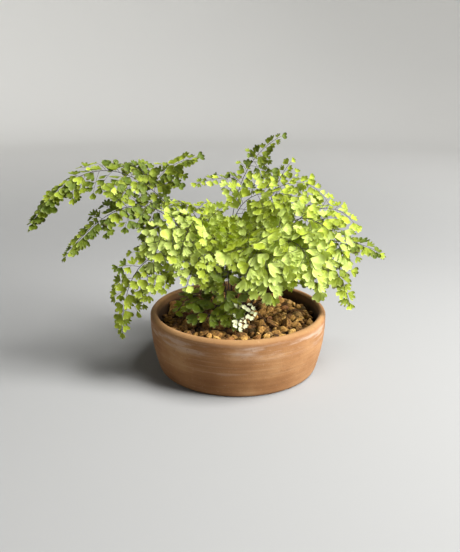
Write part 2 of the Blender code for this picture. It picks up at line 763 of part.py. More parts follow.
def lay_rib(sheet, rib, feet, first):
    # The rib as a flat strip between its feet and its tip; what it carries grows from the strip's edges.
    heavy = RIB_THICKNESS if rib.level < 2 else BLADE_THICKNESS
    rows = {}
    for side, foot in zip((1, -1), feet):
        row = [(first, foot, None)]
        for mark, owner in rib_marks(rib, side):
            spot, _, normal, over = rib.at(mark)
            row.append((mark, sheet.add(spot + side * over * RIB_WIDTH / 2, normal, heavy), owner))
        rows[side] = row
        for here, after in zip(row[:-1], row[1:]):
            if here[2] is None:
                sheet.add_faces([], [(here[1], after[1])], rib)
            elif isinstance(here[2], Rib):
                ends = (here[1], after[1]) if side == 1 else (after[1], here[1])
                lay_rib(sheet, here[2], ends, 0.0)
            else:
                lay_leaf(sheet, here[2], here[1], after[1])
    zip_rows(sheet, rib, rows[1], rows[-1])
    ends = (rows[-1][-1][1], rows[1][-1][1])
    tip = [leaf for leaf in rib.leaves if leaf.side == 0]
    if tip:
        lay_leaf(sheet, tip[0], *ends)
    else:
        sheet.add_faces([], [ends], rib)


def lay_leaf(sheet, leaf, a, b):
    _, points, _, _, face = fan_outline(leaf)
    new = [sheet.add(point, face, BLADE_THICKNESS) for point in points]
    flat = [(a, new[0], new[1]), (a, new[1], new[2]), (a, new[2], b)]
    flat += [(b, new[k], new[k + 1]) for k in range(2, len(new) - 1)]
    sheet.add_faces(flat, list(zip([a, *new], [*new, b])), leaf)


def zip_rows(sheet, rib, left, right):
    # Triangles between two rows of points, always stepping on along the row that lags.
    i = j = 0
    while i < len(left) - 1 or j < len(right) - 1:
        on_left = j == len(right) - 1 or (i < len(left) - 1 and left[i + 1][0] <= right[j + 1][0])
        ahead = left[i + 1][1] if on_left else right[j + 1][1]
        sheet.add_faces([(left[i][1], right[j][1], ahead)], [], rib)
        i += on_left
        j += not on_left


def frond_sheet(stalk):
    sheet = Sheet()
    first = stalk.start - 4 + GAP
    spot, _, normal, over = stalk.at(first)
    feet = [sheet.add(spot + side * over * RIB_WIDTH / 2, normal, RIB_THICKNESS) for side in (1, -1)]
    sheet.add_faces([], [(feet[0], feet[1])], stalk)
    lay_rib(sheet, stalk, feet, first)
    return sheet


def touching(one, other):
    # The owners of faces that run through each other, of one sheet with itself or with another.
    found = []
    for a, b in one["tree"].overlap(other["tree"]):
        if one is other and set(one["faces"][a]) & set(one["faces"][b]):
            continue
        found.append((one["owners"][a], other["owners"][b]))
    return found


def measured(stalk):
    sheet = frond_sheet(stalk)
    points, faces = sheet.body()
    tree = BVHTree.FromPolygons(points.tolist(), faces)
    low, high = points.min(0), points.max(0)
    return {"tree": tree, "faces": faces, "owners": sheet.owners(), "low": low, "high": high}


def mend(stalks):
    # Leaflets that still run through something are trimmed, and left out once they are small.
    for _ in range(8):
        bodies = [measured(stalk) for stalk in stalks]
        spoiled = set()
        for i, one in enumerate(bodies):
            for other in bodies[i:]:
                if (one["low"] < other["high"]).all() and (other["low"] < one["high"]).all():
                    for pair in touching(one, other):
                        crossed = [item for item in pair if isinstance(item, Leaf)]
                        spoiled.update(sorted(crossed, key=lambda leaf: leaf.size)[:1])
        for leaf in spoiled:
            leaf.trims += 1
            leaf.size *= 0.85
            leaf.draws = leaf.draws * (0.5, 0.5, -1.0, 0.0)
            if leaf.trims > 3:
                leaf.rib.leaves.remove(leaf)
        if not spoiled:
            break


def round_tube(points, radii, sides):
    along = np.gradient(points, axis=0)
    along /= np.linalg.norm(along, axis=1)[:, None]
    side = np.cross(along, UP + 0.01)
    side /= np.linalg.norm(side, axis=1)[:, None]
    over = np.cross(side, along)
    turn = np.arange(sides) * 2 * np.pi / sides
    rings = [
        points[k] + radii[k] * (np.cos(turn)[:, None] * side[k] + np.sin(turn)[:, None] * over[k])
        for k in range(len(points))
    ]
    return stacked(rings)


def tube_along(rib, first, last, count):
    marks = np.linspace(first, last, count)
    points = np.array([rib.at(mark)[0] for mark in marks])
    radii = STALK_RADIUS * (1 - 0.35 * marks / rib.length)
    return round_tube(points, radii, STALK_SIDES)


def grow_all():
    room = Room()
    ribs = {name: main_ribs(name, order) for order, name in enumerate(FRONDS)}
    for name, family in ribs.items():
        for rib in family:
            room.add(*rib_body(rib), (name, rib.key))
    for level in range(2):
        for family in ribs.values():
            for rib in [rib for rib in family if rib.level == level]:
                before = len(rib.children)
                branches(rib, room)
                family += rib.children[before:]
    for family in ribs.values():
        for rib in family:
            leaves(rib, room)
    return ribs


def make_frond(name, stalk):
    # The bare stalk is dark and round. The blade starts where it ends and is one sheet with its ribs.
    blade_slot = "young_leaf" if name == "young" else "leaf"
    tube = add_object(name + "_stalk", *tube_along(stalk, 0, stalk.start - 4, STALK_STEPS), "stalk")
    shade_round(tube.data, 80)
    add_object(name + "_blade", *frond_sheet(stalk).body(), blade_slot)


def drill_mound(mound, ribs):
    # A plain hole for each stalk, along the first straight piece of it.
    cutters = []
    for family in ribs.values():
        rib = family[0]
        foot = rib.at(0)[0]
        way = unit(rib.at((rib.start - 4) / (STALK_STEPS - 1))[0] - foot)
        points = np.array([foot - 0.6 * way, foot + 16 * way])
        cutters.append(add_object("hole", *round_tube(points, (HOLE_RADIUS, HOLE_RADIUS), 5), "soil"))
    cut_away(mound, "MANIFOLD", cutters)


def main():
    clear_scene()
    make_pot()
    make_soil()
    make_gravel()
    mound = make_mound()
    ribs = grow_all()
    drill_mound(mound, ribs)
    mend([family[0] for family in ribs.values()])
    for name, family in ribs.items():
        make_frond(name, family[0])


main()
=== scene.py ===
# A maidenhair fern in a shallow terracotta bowl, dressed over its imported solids. Metres, +Z up.
import json
import bmesh
import bpy
import numpy as np
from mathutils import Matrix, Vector
from mathutils.bvhtree import BVHTree

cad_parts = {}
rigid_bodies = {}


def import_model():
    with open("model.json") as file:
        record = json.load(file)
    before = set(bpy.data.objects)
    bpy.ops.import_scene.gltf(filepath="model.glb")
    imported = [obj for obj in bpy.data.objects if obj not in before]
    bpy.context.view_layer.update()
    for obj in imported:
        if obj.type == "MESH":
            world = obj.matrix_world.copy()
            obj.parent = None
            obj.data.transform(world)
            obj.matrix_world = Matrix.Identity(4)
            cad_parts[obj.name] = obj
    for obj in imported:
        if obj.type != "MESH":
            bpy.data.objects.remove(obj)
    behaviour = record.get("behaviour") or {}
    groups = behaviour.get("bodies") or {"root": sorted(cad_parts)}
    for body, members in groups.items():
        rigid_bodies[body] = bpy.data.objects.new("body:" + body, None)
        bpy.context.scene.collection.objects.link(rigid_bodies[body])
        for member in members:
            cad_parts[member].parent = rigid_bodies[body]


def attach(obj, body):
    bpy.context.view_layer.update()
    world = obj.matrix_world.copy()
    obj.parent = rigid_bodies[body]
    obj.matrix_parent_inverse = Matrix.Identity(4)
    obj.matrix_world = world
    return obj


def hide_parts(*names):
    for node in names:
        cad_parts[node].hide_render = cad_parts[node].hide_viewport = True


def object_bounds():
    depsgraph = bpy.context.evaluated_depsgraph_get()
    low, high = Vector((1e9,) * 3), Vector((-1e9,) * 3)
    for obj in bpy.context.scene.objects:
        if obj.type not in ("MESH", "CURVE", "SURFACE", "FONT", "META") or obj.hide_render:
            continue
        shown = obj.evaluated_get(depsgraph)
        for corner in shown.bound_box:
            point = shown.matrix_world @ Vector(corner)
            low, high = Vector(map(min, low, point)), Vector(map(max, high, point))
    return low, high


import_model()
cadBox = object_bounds()
mm = 0.001
up = np.array([0.0, 0.0, 1.0])


# small helpers
def unit(v):
    # v over its length, along the last axis
    return v / np.linalg.norm(v, axis=-1, keepdims=True)


def addMesh(name, points, faceGroups, vertexValues=None, vertexUv=None):
    # points in mm; each face group is an array of rows of vertex numbers; values are one number a vertex
    mesh = bpy.data.meshes.new(name)
    corners = np.concatenate([group.reshape(-1) for group in faceGroups])
    used, corners = np.unique(corners, return_inverse=True)
    corners = corners.astype(np.int32).ravel()
    points = np.asarray(points)[used]
    totals = np.concatenate([np.full(len(group), group.shape[1], np.int32) for group in faceGroups])
    starts = np.concatenate([[0], np.cumsum(totals)[:-1]]).astype(np.int32)
    mesh.vertices.add(len(points))
    mesh.vertices.foreach_set("co", (points * mm).astype(np.float32).ravel())
    mesh.loops.add(len(corners))
    mesh.loops.foreach_set("vertex_index", corners)
    mesh.polygons.add(len(totals))
    mesh.polygons.foreach_set("loop_start", starts)
    mesh.update(calc_edges=True)
    for key, values in (vertexValues or {}).items():
        layer = mesh.attributes.new(key, "FLOAT", "POINT")
        layer.data.foreach_set("value", values[used].astype(np.float32))
    if vertexUv is not None:
        layer = mesh.uv_layers.new(name="fan")
        layer.data.foreach_set("uv", vertexUv[used][corners].astype(np.float32).ravel())
    mesh.validate()
    mesh.shade_smooth()
    obj = bpy.data.objects.new(name, mesh)
    bpy.context.scene.collection.objects.link(obj)
    return obj


def reshape(obj, change):
    # moves a piece's vertices to where change(points) puts them, in mm
    points = np.empty(len(obj.data.vertices) * 3, np.float32)
    obj.data.vertices.foreach_get("co", points)
    points = change(points.reshape(-1, 3) / mm)
    obj.data.vertices.foreach_set("co", (points * mm).astype(np.float32).ravel())


def finishPiece(obj, material, slot, *nodes):
    # gives a piece its material and lets it stand for CAD nodes; its slot is not used
    obj.data.materials.clear()
    obj.data.materials.append(material)
    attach(obj, "root")
    if nodes:
        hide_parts(*nodes)


def repeated(faces, count, stride):
    # the same faces again for each copy, each copy's numbers moved on by stride
    return (faces[None] + stride * np.arange(count)[:, None, None]).reshape(-1, faces.shape[1])


# shader maths
class Wire:
    # a socket whose sums, differences, products and sizes are Math nodes
    def __init__(self, finish, socket):
        self.finish = finish
        self.socket = socket

    def math(self, operation, *values):
        return self.finish.node("Math", 0, {"operation": operation}, dict(enumerate(values)))

    def __add__(self, other):
        return self.math("ADD", self, other)

    def __sub__(self, other):
        return self.math("SUBTRACT", self, other)

    def __mul__(self, other):
        return self.math("MULTIPLY", self, other)

    def __rsub__(self, other):
        return self.math("SUBTRACT", other, self)

    def __abs__(self):
        return self.math("ABSOLUTE", self)

    __radd__ = __add__
    __rmul__ = __mul__

    def fract(self):
        # what is left above the whole number
        return self.math("FRACT", self)

    def smooth(self, low, high):
        # 0 below low and 1 above high, eased between; low may be the higher of the two
        inputs = {"Value": self, "From Min": min(low, high), "From Max": max(low, high)}
        made = self.finish.node("MapRange", "Result", {"interpolation_type": "SMOOTHSTEP"}, inputs)
        return made if high > low else 1 - made


class Finish:
    # a material: plain numbers go on its Principled shader, patterns are added as nodes
    def __init__(self, name, **plain):
        self.material = bpy.data.materials.new(name)
        self.material.use_nodes = True
        self.tree = self.material.node_tree
        self.shader = self.tree.nodes["Principled BSDF"]
        self.output = self.tree.nodes["Material Output"]
        for key, value in plain.items():
            self.shader.inputs[key.replace("_", " ")].default_value = value

    def feed(self, socket, value):
        if isinstance(value, Wire):
            self.tree.links.new(value.socket, socket)
        else:
            socket.default_value = value

    def node(self, kind, output, settings, inputs):
        # settings are set first: a Math node's operation, or a ramp's stops as (place, colour); the
        # output, by its name or number, comes back as a wire
        made = self.tree.nodes.new("ShaderNode" + kind)
        for key, value in settings.items():
            if key == "stops":
                ramp = made.color_ramp
                while len(ramp.elements) < len(value):
                    ramp.elements.new(0.5)
                for element, (place, colour) in zip(ramp.elements, value):
                    element.position = place
                    element.color = (*colour, 1)
            else:
                setattr(made, key, value)
        for key, value in inputs.items():
            self.feed(made.inputs[key], value)
        return Wire(self, made.outputs[output])

    def place(self):
        return self.node("TexCoord", "Object", {}, {})

    def scaled(self, vector, scale):
        return self.node("VectorMath", "Vector", {"operation": "MULTIPLY"}, {0: vector, 1: scale})

    def length(self, vector):
        return self.node("VectorMath", "Value", {"operation": "LENGTH"}, {0: vector})

    def part(self, vector, axis):
        return self.node("SeparateXYZ", axis, {}, {0: vector})

    def noise(self, vector, scale, detail, roughness=0.55):
        # a soft pattern about 0.5, some scale waves to the metre
        inputs = {"Vector": vector, "Scale": scale, "Detail": detail, "Roughness": roughness}
        return self.node("TexNoise", 0, {}, inputs)

    def value(self, name):
        # a number that addMesh kept on each vertex
        return self.node("Attribute", "Fac", {"attribute_name": name}, {})

    def ramp(self, factor, *stops):
        return self.node("ValToRGB", "Color", {"stops": stops}, {"Fac": factor})

    def blend(self, factor, first, second):
        # first where the factor is 0, second where it is 1; plain colours have three numbers
        first, second = (c if isinstance(c, Wire) else (*c, 1) for c in (first, second))
        return self.node("Mix", 2, {"data_type": "RGBA"}, {0: factor, 6: first, 7: second})

    def layered(self, colour, *layers):
        # each layer is a mask and the colour that the mask lets over what lies under it
        for mask, over in layers:
            colour = self.blend(mask, colour, over)
        return colour

    def paint(self, **wires):
        for key, wire in wires.items():
            self.feed(self.shader.inputs[key.replace("_", " ")], wire)

    def bump(self, height, distance, strength):
        inputs = {"Height": height, "Distance": distance, "Strength": strength}
        self.paint(Normal=self.node("Bump", "Normal", {}, inputs))


# the camera, the room and the lights
# in metres, and the lens in mm; the floor lies floorGap under the bowl and takes the wall's colour
# gradually, from and to the distances in fade; the paler far floor is also painted light, making up for
# the lamps' falloff
view = dict(place=(-0.0086, -0.6875, 0.3231), tilt=18.014, focalLength=43.8913, sensorHeight=36)
studio = dict(
    floorFlat=2.0, wallRadius=3.0, wallHeight=2.5, floorGap=0.0002, around=96,
    floorColour=(0.235, 0.235, 0.23), wallColour=(0.84, 0.835, 0.81), fade=(0.45, 2.6),
    skyColour=(1.0, 0.99, 0.97), skyStrength=0.03, lightAim=(0, 0, 0.1),
)
lights = dict(
    key=dict(place=(1.36, -0.56, 0.76), size=0.70, power=21.5, spread=110),
    top=dict(place=(0.80, -0.16, 1.72), size=0.95, power=73.0, spread=180),
)


def turnedGrid(profile, around, wobble=None):
    # a profile (radius, height) carried round Z; wobble(turn, height) is added to the radius
    turn = np.arange(around) * 2 * np.pi / around
    radius, height = (np.tile(column, (around, 1)) for column in profile.T)
    turns = np.broadcast_to(turn[:, None], radius.shape)
    if wobble is not None:
        radius = radius + np.where(radius > 0.01, wobble(turns, height), 0)
    points = np.stack([radius * np.cos(turns), radius * np.sin(turns), height], -1).reshape(-1, 3)
    rows = len(profile)
    here = np.arange(around)[:, None] * rows + np.arange(rows - 1)
    after = ((np.arange(around) + 1) % around)[:, None] * rows + np.arange(rows - 1)
    return points, np.stack([here, after, after + 1, here + 1], -1).reshape(-1, 4)


def closedTurn(name, profile, around, wobble=None):
    # a profile that runs up the outside, turned, with its two axis points drawn together as poles
    points, faces = turnedGrid(profile, around, wobble)
    faces = faces.reshape(around, -1, 4)
    low = np.column_stack([np.zeros(around, int), faces[:, 0, 2:]])
    high = np.column_stack([faces[:, -1, :2], np.full(around, len(profile) - 1)])
    return addMesh(name, points, [faces[:, 1:-1].reshape(-1, 4), low, high])


def makeStudio():
    # a flat floor that turns up through a quarter circle into a round wall, plain from every side
    bend = studio["wallRadius"] - studio["floorFlat"]
    angle = np.radians(np.linspace(0, 90, 25))
    curve = np.stack([studio["floorFlat"] + bend * np.sin(angle), bend * (1 - np.cos(angle))], 1)
    profile = np.concatenate([[[0, 0]], curve, [[studio["wallRadius"], studio["wallHeight"]]]])
    profile = (profile - [0, studio["floorGap"]]) / mm
    points, faces = turnedGrid(profile, studio["around"])
    faces = np.where(faces % len(profile) == 0, 0, faces)
    inner = faces[:, 0] != 0
    room = addMesh("room", points, [faces[inner][:, ::-1], faces[~inner][:, [1, 2, 3]][:, ::-1]])
    look = Finish("roomPaint", Roughness=0.85, Specular_IOR_Level=0.2)
    # the floor turns paler outward: partly the wall's colour, partly painted light on the far floor
    fade = look.length(look.place()).smooth(*studio["fade"])
    look.paint(Base_Color=look.blend(fade, studio["floorColour"], studio["wallColour"]))
    room.data.materials.append(look.material)


def makeLights():
    # a dim sky and square lamps, each turned to the middle of the plant
    sky = bpy.data.worlds.new("sky")
    sky.use_nodes = True
    sky.node_tree.nodes["Background"].inputs[0].default_value = (*studio["skyColour"], 1)
    sky.node_tree.nodes["Background"].inputs[1].default_value = studio["skyStrength"]
    bpy.context.scene.world = sky
    for name, light in lights.items():
        lamp = bpy.data.lights.new(name, "AREA")
        lamp.size = light["size"]
        lamp.energy = light["power"]
        lamp.spread = np.radians(light["spread"])
        obj = bpy.data.objects.new(name, lamp)
        obj.location = light["place"]
        aim = Vector(studio["lightAim"]) - obj.location
        obj.rotation_euler = aim.to_track_quat("-Z", "Y").to_euler()
        obj.visible_camera = False
        bpy.context.scene.collection.objects.link(obj)


def makeCamera():
    # looks along +Y, tilted down
    lens = bpy.data.cameras.new("view")
    lens.sensor_fit = "VERTICAL"
    lens.sensor_height = view["sensorHeight"]
    lens.lens = view["focalLength"]
    camera = bpy.data.objects.new("view", lens)
    camera.location = view["place"]
    camera.rotation_euler = (np.radians(90 - view["tilt"]), 0, 0)
    bpy.context.scene.collection.objects.link(camera)
    bpy.context.scene.camera = camera
    bpy.context.scene.view_settings.view_transform = "Standard"


makeCamera()
makeStudio()
makeLights()
print("camera, room and lights ready")


# the bowl, in mm: lip is the radius of its round rim, mouth the opening that stalks stay in, and rings
# and waver are how deep the marks of the wheel and of the hand are
bowl = dict(
    rimRadius=95.0, height=63.8, baseRadius=86.1, bulge=2.9, lip=4.6, mouth=87.4, floor=8.5, around=160,
    rings=(0.10, 0.07), waver=(0.12, 0.08),
    drains=3, drainRing=30.0, drainRadius=5.0,
)


def bowlOutside(height):
    # a straight flare from base to rim, swollen by a parabola between
    share = height / bowl["height"]
    flare = bowl["baseRadius"] + (bowl["rimRadius"] - bowl["baseRadius"]) * share
    return flare + bowl["bulge"] * 4 * share * (1 - share)


def bowlProfile():
    # up the inside, over a round lip, down the outside and in under the foot
    inside = [(0.0, bowl["floor"]), (40.0, bowl["floor"]), (70.0, 8.6), (75.4, 9.2), (79.0, 10.8)]
    inside += [(82.0, 13.6), (84.2, 20.0), (85.4, 28.0), (86.1, 36.0), (86.7, 44.0), (87.1, 50.0)]
    inside += [(87.3, 55.0), (87.5, 59.0)]
    shoulder = bowl["height"] - bowl["lip"]
    middle = bowlOutside(shoulder) - bowl["lip"]
    wide = middle - inside[-1][0]
    turn = np.radians(np.linspace(170, 90, 7))
    inner = np.stack([middle + wide * np.cos(turn), shoulder + bowl["lip"] * np.sin(turn)], 1)
    turn = np.radians(np.linspace(75, 0, 7))
    outer = np.stack([middle + bowl["lip"] * np.cos(turn), shoulder + bowl["lip"] * np.sin(turn)], 1)
    wall = [(bowlOutside(h), h) for h in np.linspace(shoulder - 1.5, 5, 34)]
    foot = [(bowlOutside(3.2) - 0.1, 3.2), (bowl["baseRadius"], 1.6), (85.4, 0.6), (84.5, 0.0)]
    return np.concatenate([inside, inner, outer, wall, foot, [(60.0, 0.0), (0.0, 0.0)]])


def bowlWobble(turn, height):
    # two sines up the wall and two round it, each between minus twice its depth and 0, so that none is
    # outward, and none at the foot
    waves = [np.sin(1.9 * height + 0.7 * np.sin(turn)), np.sin(0.83 * height + 2 * turn)]
    waves += [np.sin(2 * turn + 0.6), np.sin(5 * turn + 0.05 * height)]
    marks = sum(deep * (wave - 1) for deep, wave in zip(bowl["rings"] + bowl["waver"], waves))
    return marks * np.clip((height - 1.0) / 6, 0, 1)


def terracotta():
    # fired clay with lines from the wheel, pale lime bloom under the rim and a damp dark inside; painted
    # shade turns the inner wall near black towards the gravel and darkens the foot where it meets the
    # floor
    look = Finish("terracotta", Roughness=0.8, Specular_IOR_Level=0.3)
    place = look.place()
    z = look.part(place, "Z")
    reach = look.length(look.scaled(place, (1, 1, 0)))
    streaks = look.noise(look.scaled(place, (14, 14, 420)), 1.0, 4)
    bands = look.noise(look.scaled(place, (5, 5, 75)), 1.0, 3)
    clouds = look.noise(place, 22, 4)
    patch = look.noise(look.scaled(place, (26, 26, 150)), 1.0, 5)
    specks = look.noise(place, 380, 1)
    grain = look.noise(place, 900, 2)
    bloomBand = z.smooth(0.040, 0.052) * z.smooth(0.0600, 0.056)
    rim = z.smooth(0.0595, 0.0625)
    inside = (reach - z * 0.075).smooth(0.0850, 0.0842) * z.smooth(0.063, 0.061) * z.smooth(0.003, 0.006)
    damp = look.ramp(clouds, (0.35, (0.070, 0.034, 0.011)), (0.65, (0.19, 0.095, 0.034)))
    clay = look.ramp(
        clouds * 0.55 + bands * 0.45,
        (0.30, (0.165, 0.065, 0.018)),
        (0.50, (0.238, 0.110, 0.039)),
        (0.68, (0.345, 0.187, 0.080)),
    )
    clay = look.layered(
        clay,
        (streaks.smooth(0.56, 0.72) * 0.35, (0.14, 0.056, 0.018)),
        (streaks.smooth(0.44, 0.30) * 0.30, (0.38, 0.235, 0.135)),
        (bloomBand * patch.smooth(0.43, 0.62) * 0.50, (0.44, 0.34, 0.265)),
        (patch.smooth(0.60, 0.72) * z.smooth(0.012, 0.03) * 0.18, (0.44, 0.34, 0.27)),
        (rim * (0.35 + 0.5 * clouds), (0.215, 0.118, 0.040)),
        (inside, damp),
        # painted shade: the inner wall turns near black towards the gravel
        (inside * z.smooth(0.0585, 0.0535) * 0.7, (0.020, 0.010, 0.004)),
        # painted shade: darker in the last 3 mm of the foot, where the bowl meets the floor
        (z.smooth(0.003, 0.0005) * 0.4, (0.12, 0.055, 0.025)),
        (specks.smooth(0.64, 0.74) * 0.3, (0.14, 0.07, 0.03)),
        (specks.smooth(0.34, 0.26) * 0.12, (0.45, 0.33, 0.24)),
    )
    look.paint(Base_Color=clay, Roughness=0.72 + 0.2 * clouds)
    look.bump(streaks * 0.5 + grain * 0.35 + bands * 0.4, 0.0009, 0.55)
    return look.material


def makeBowl():
    # the profile turned round Z, less a drill for each drain hole
    pot = closedTurn("bowl", bowlProfile()[::-1], bowl["around"], bowlWobble)
    wide = bowl["drainRadius"]
    side = np.array([[0, -3], [wide, -3], [wide, 12], [0, 12]], float)
    for turn in np.radians(90 + 360 / bowl["drains"] * np.arange(bowl["drains"])):
        drill = closedTurn("drill", side, 24)
        drill.location = (bowl["drainRing"] * np.cos(turn) * mm, bowl["drainRing"] * np.sin(turn) * mm, 0)
        cut = pot.modifiers.new("drain", "BOOLEAN")
        cut.object = drill
        cut.solver = "EXACT"
        bpy.context.view_layer.update()
        graph = bpy.context.evaluated_depsgraph_get()
        pot.data = bpy.data.meshes.new_from_object(pot.evaluated_get(graph))
        pot.modifiers.clear()
        bpy.data.objects.remove(drill)
    pot.data.shade_smooth()
    pot.data.set_sharp_from_angle(angle=np.radians(50))
    finishPiece(pot, terracotta(), "terracotta", "pot")


makeBowl()
print("bowl turned and drilled")


# soil and gravel, in mm. cover: stones for each stoneSpacing squared. layers: how deep each layer of
# stones lies, how near the mound it begins, and its tone; the lower layer's low tone is painted shade
# in the gaps between the upper stones. heap: how far it rises beside the mound.
filling = dict(
    soilTop=45.0, gravelTop=52.0, gravelRadius=85.3, wallGap=4.0,
    stoneSpacing=8.7, cover=1.12, stoneSize=(3.0, 6.4), heap=5.0,
    layers=(dict(drop=0.0, edge=0.93, tone=1.0), dict(drop=5.2, edge=1.0, tone=0.25)),
    moundCentre=(-5.0, 14.0), moundRadii=(27.0, 22.0), moundTop=63.5,
    crumbs=420, crumbSize=(0.6, 1.7),
)
stone = dict(waves=4, flats=9, flatFrom=0.66, fit=0.83, squash=(0.72, 1.15), lie=0.82)


def lumps(points, seed, scale, amount):
    # a sum of six waves in random directions, each about scale mm long
    draws = np.random.default_rng(seed)
    ways = unit(draws.normal(size=(6, 3))) * (2 * np.pi / (scale * draws.uniform(0.6, 1.6, (6, 1))))
    return amount * np.sin(points @ ways.T + draws.uniform(0, 6.3, 6)).sum(-1) / 2.5


def icosphere(level):
    # a ball of radius 1: an icosahedron, each face split in four at every level past the first
    made = bpy.data.meshes.new("ball")
    ball = bmesh.new()
    bmesh.ops.create_icosphere(ball, subdivisions=level, radius=1)
    ball.to_mesh(made)
    ball.free()
    points = np.array([v.co for v in made.vertices])
    faces = np.array([tuple(p.vertices) for p in made.polygons])
    bpy.data.meshes.remove(made)
    return points, faces


def scattered(name, centres, sizes, level, seed, rough, shade=1.0):
    # each stone: a ball dented by waves, worn to flats, squashed on its axes, turned at random and
    # lowered to lie; it keeps a tone and a kind from 0 to 1
    draws = np.random.default_rng(seed)
    ball, faces = icosphere(level)
    count = len(centres)
    turn = np.linalg.qr(draws.normal(size=(count, 3, 3)))[0]
    turn *= np.sign(np.linalg.det(turn))[:, None, None]
    ways = draws.normal(size=(count, stone["waves"], 3)) * 1.9
    starts = draws.uniform(0, 6.3, (count, 1, stone["waves"]))
    dents = np.sin(np.einsum("vk,nwk->nvw", ball, ways) + starts).mean(-1)
    flats = unit(draws.normal(size=(count, stone["flats"], 3)))
    worn = np.maximum(np.einsum("vk,nwk->nvw", ball, flats).max(-1), stone["flatFrom"])
    shape = ball[None] * (1 + rough * dents[..., None]) / worn[..., None] * stone["fit"]
    shape *= draws.uniform(*stone["squash"], (count, 1, 3)) * sizes[:, None, None]
    points = np.einsum("nvk,nkj->nvj", shape, turn)
    points[..., 2] *= stone["lie"]
    points += centres[:, None]
    # times shade, which below 1 is painted shade on whole stones lying low in the gaps
    tone = np.repeat(draws.random(count) * shade, len(ball))
    kind = np.repeat(draws.random(count), len(ball))
    groups = [repeated(faces, count, len(ball))]
    stones = addMesh(name, points.reshape(-1, 3), groups, {"tone": tone, "kind": kind})
    stones.data.set_sharp_from_angle(angle=np.radians(40))
    return stones


def moundReach(points):
    # 1 on the edge of the mound's oval, less inside it
    centre = np.array(filling["moundCentre"])
    return np.linalg.norm((points[..., :2] - centre) / np.array(filling["moundRadii"]), axis=-1)


def sunflower(count, radius):
    # points at radius * sqrt(k / count), each turned on by the golden angle
    k = np.arange(count) + 0.5
    turn = k * np.pi * (3 - np.sqrt(5))
    return (radius * np.sqrt(k / count))[:, None] * np.stack([np.cos(turn), np.sin(turn)], 1)


def stonePlaces():
    # each layer: a shaken sunflower, the lower one turned by a quarter, held off the wall, left out
    # where the mound is and raised beside it; a row is x, y, height and tone, which on the lower layer is
    # painted shade
    draws = np.random.default_rng(42)
    reach = filling["gravelRadius"] - filling["wallGap"]
    count = int(np.pi * reach**2 / filling["stoneSpacing"] ** 2 * filling["cover"])
    places = []
    for order, layer in enumerate(filling["layers"]):
        flat = sunflower(count, reach)
        if order:
            flat = flat[:, ::-1] * (-1, 1)
        flat += draws.uniform(-1.5, 1.5, flat.shape)
        flat /= np.maximum(np.linalg.norm(flat, axis=1) / reach, 1)[:, None]
        beside = moundReach(flat)
        height = filling["gravelTop"] - layer["drop"] + draws.uniform(-1.3, 1.5, count)
        height += filling["heap"] * np.clip(1.5 - beside, 0, 1)
        rows = np.column_stack([flat, height, np.full(count, layer["tone"])])
        places.append(rows[beside > layer["edge"]])
    return np.concatenate(places)


def stoneLook():
    # baked clay grit: each stone its own brown, paler where it is worn, with dark pits, and painted shade:
    # near black on the low parts of the stones, down in the gaps
    look = Finish("gravelStone", Roughness=0.85, Specular_IOR_Level=0.25)
    place = look.place()
    tone, kind = look.value("tone"), look.value("kind")
    mottle = look.noise(place, 420, 4)
    pits = look.noise(place, 1400, 2)
    height = look.part(place, "Z")
    colour = look.ramp(
        tone * 0.40 + mottle * 0.76 - 0.05,
        (0.24, (0.012, 0.006, 0.002)),
        (0.44, (0.105, 0.046, 0.010)),
        (0.63, (0.300, 0.154, 0.034)),
        (0.86, (0.630, 0.390, 0.115)),
    )
    colour = look.layered(
        colour,
        (kind.smooth(0.95, 0.97) * 0.3, (0.28, 0.20, 0.08)),
        (kind.smooth(0.07, 0.05) * 0.4, (0.30, 0.12, 0.04)),
        (pits.smooth(0.60, 0.72) * 0.55, (0.07, 0.035, 0.015)),
        # painted shade: the stones turn near black below about 54 mm, down in the gaps
        (height.smooth(0.0540, 0.0498) * 0.85, (0.020, 0.010, 0.004)),
    )
    look.paint(Base_Color=colour, Roughness=0.75 + 0.2 * mottle)
    look.bump(mottle * 0.6 + pits * 0.4, 0.0020, 0.9)
    return look.material


def soilLook():
    # dark clods with paler fibres
    look = Finish("pottingSoil", Roughness=0.95, Specular_IOR_Level=0.15)
    place = look.place()
    clods = look.noise(place, 260, 5, 0.65)
    fibre = look.noise(look.scaled(place, (900, 300, 700)), 1.0, 2)
    colour = look.ramp(clods, (0.35, (0.010, 0.006, 0.004)), (0.60, (0.045, 0.026, 0.014)))
    colour = look.blend(fibre.smooth(0.62, 0.70) * 0.6, colour, (0.13, 0.075, 0.035))
    look.paint(Base_Color=colour, Roughness=0.85 + 0.12 * clods)
    look.bump(clods, 0.002, 0.9)
    return look.material


def dome(share):
    # (1 - share^3.2)^0.75: nearly flat on top and steep at the edge
    return (1 - np.clip(share, 0, 1) ** 3.2) ** 0.75


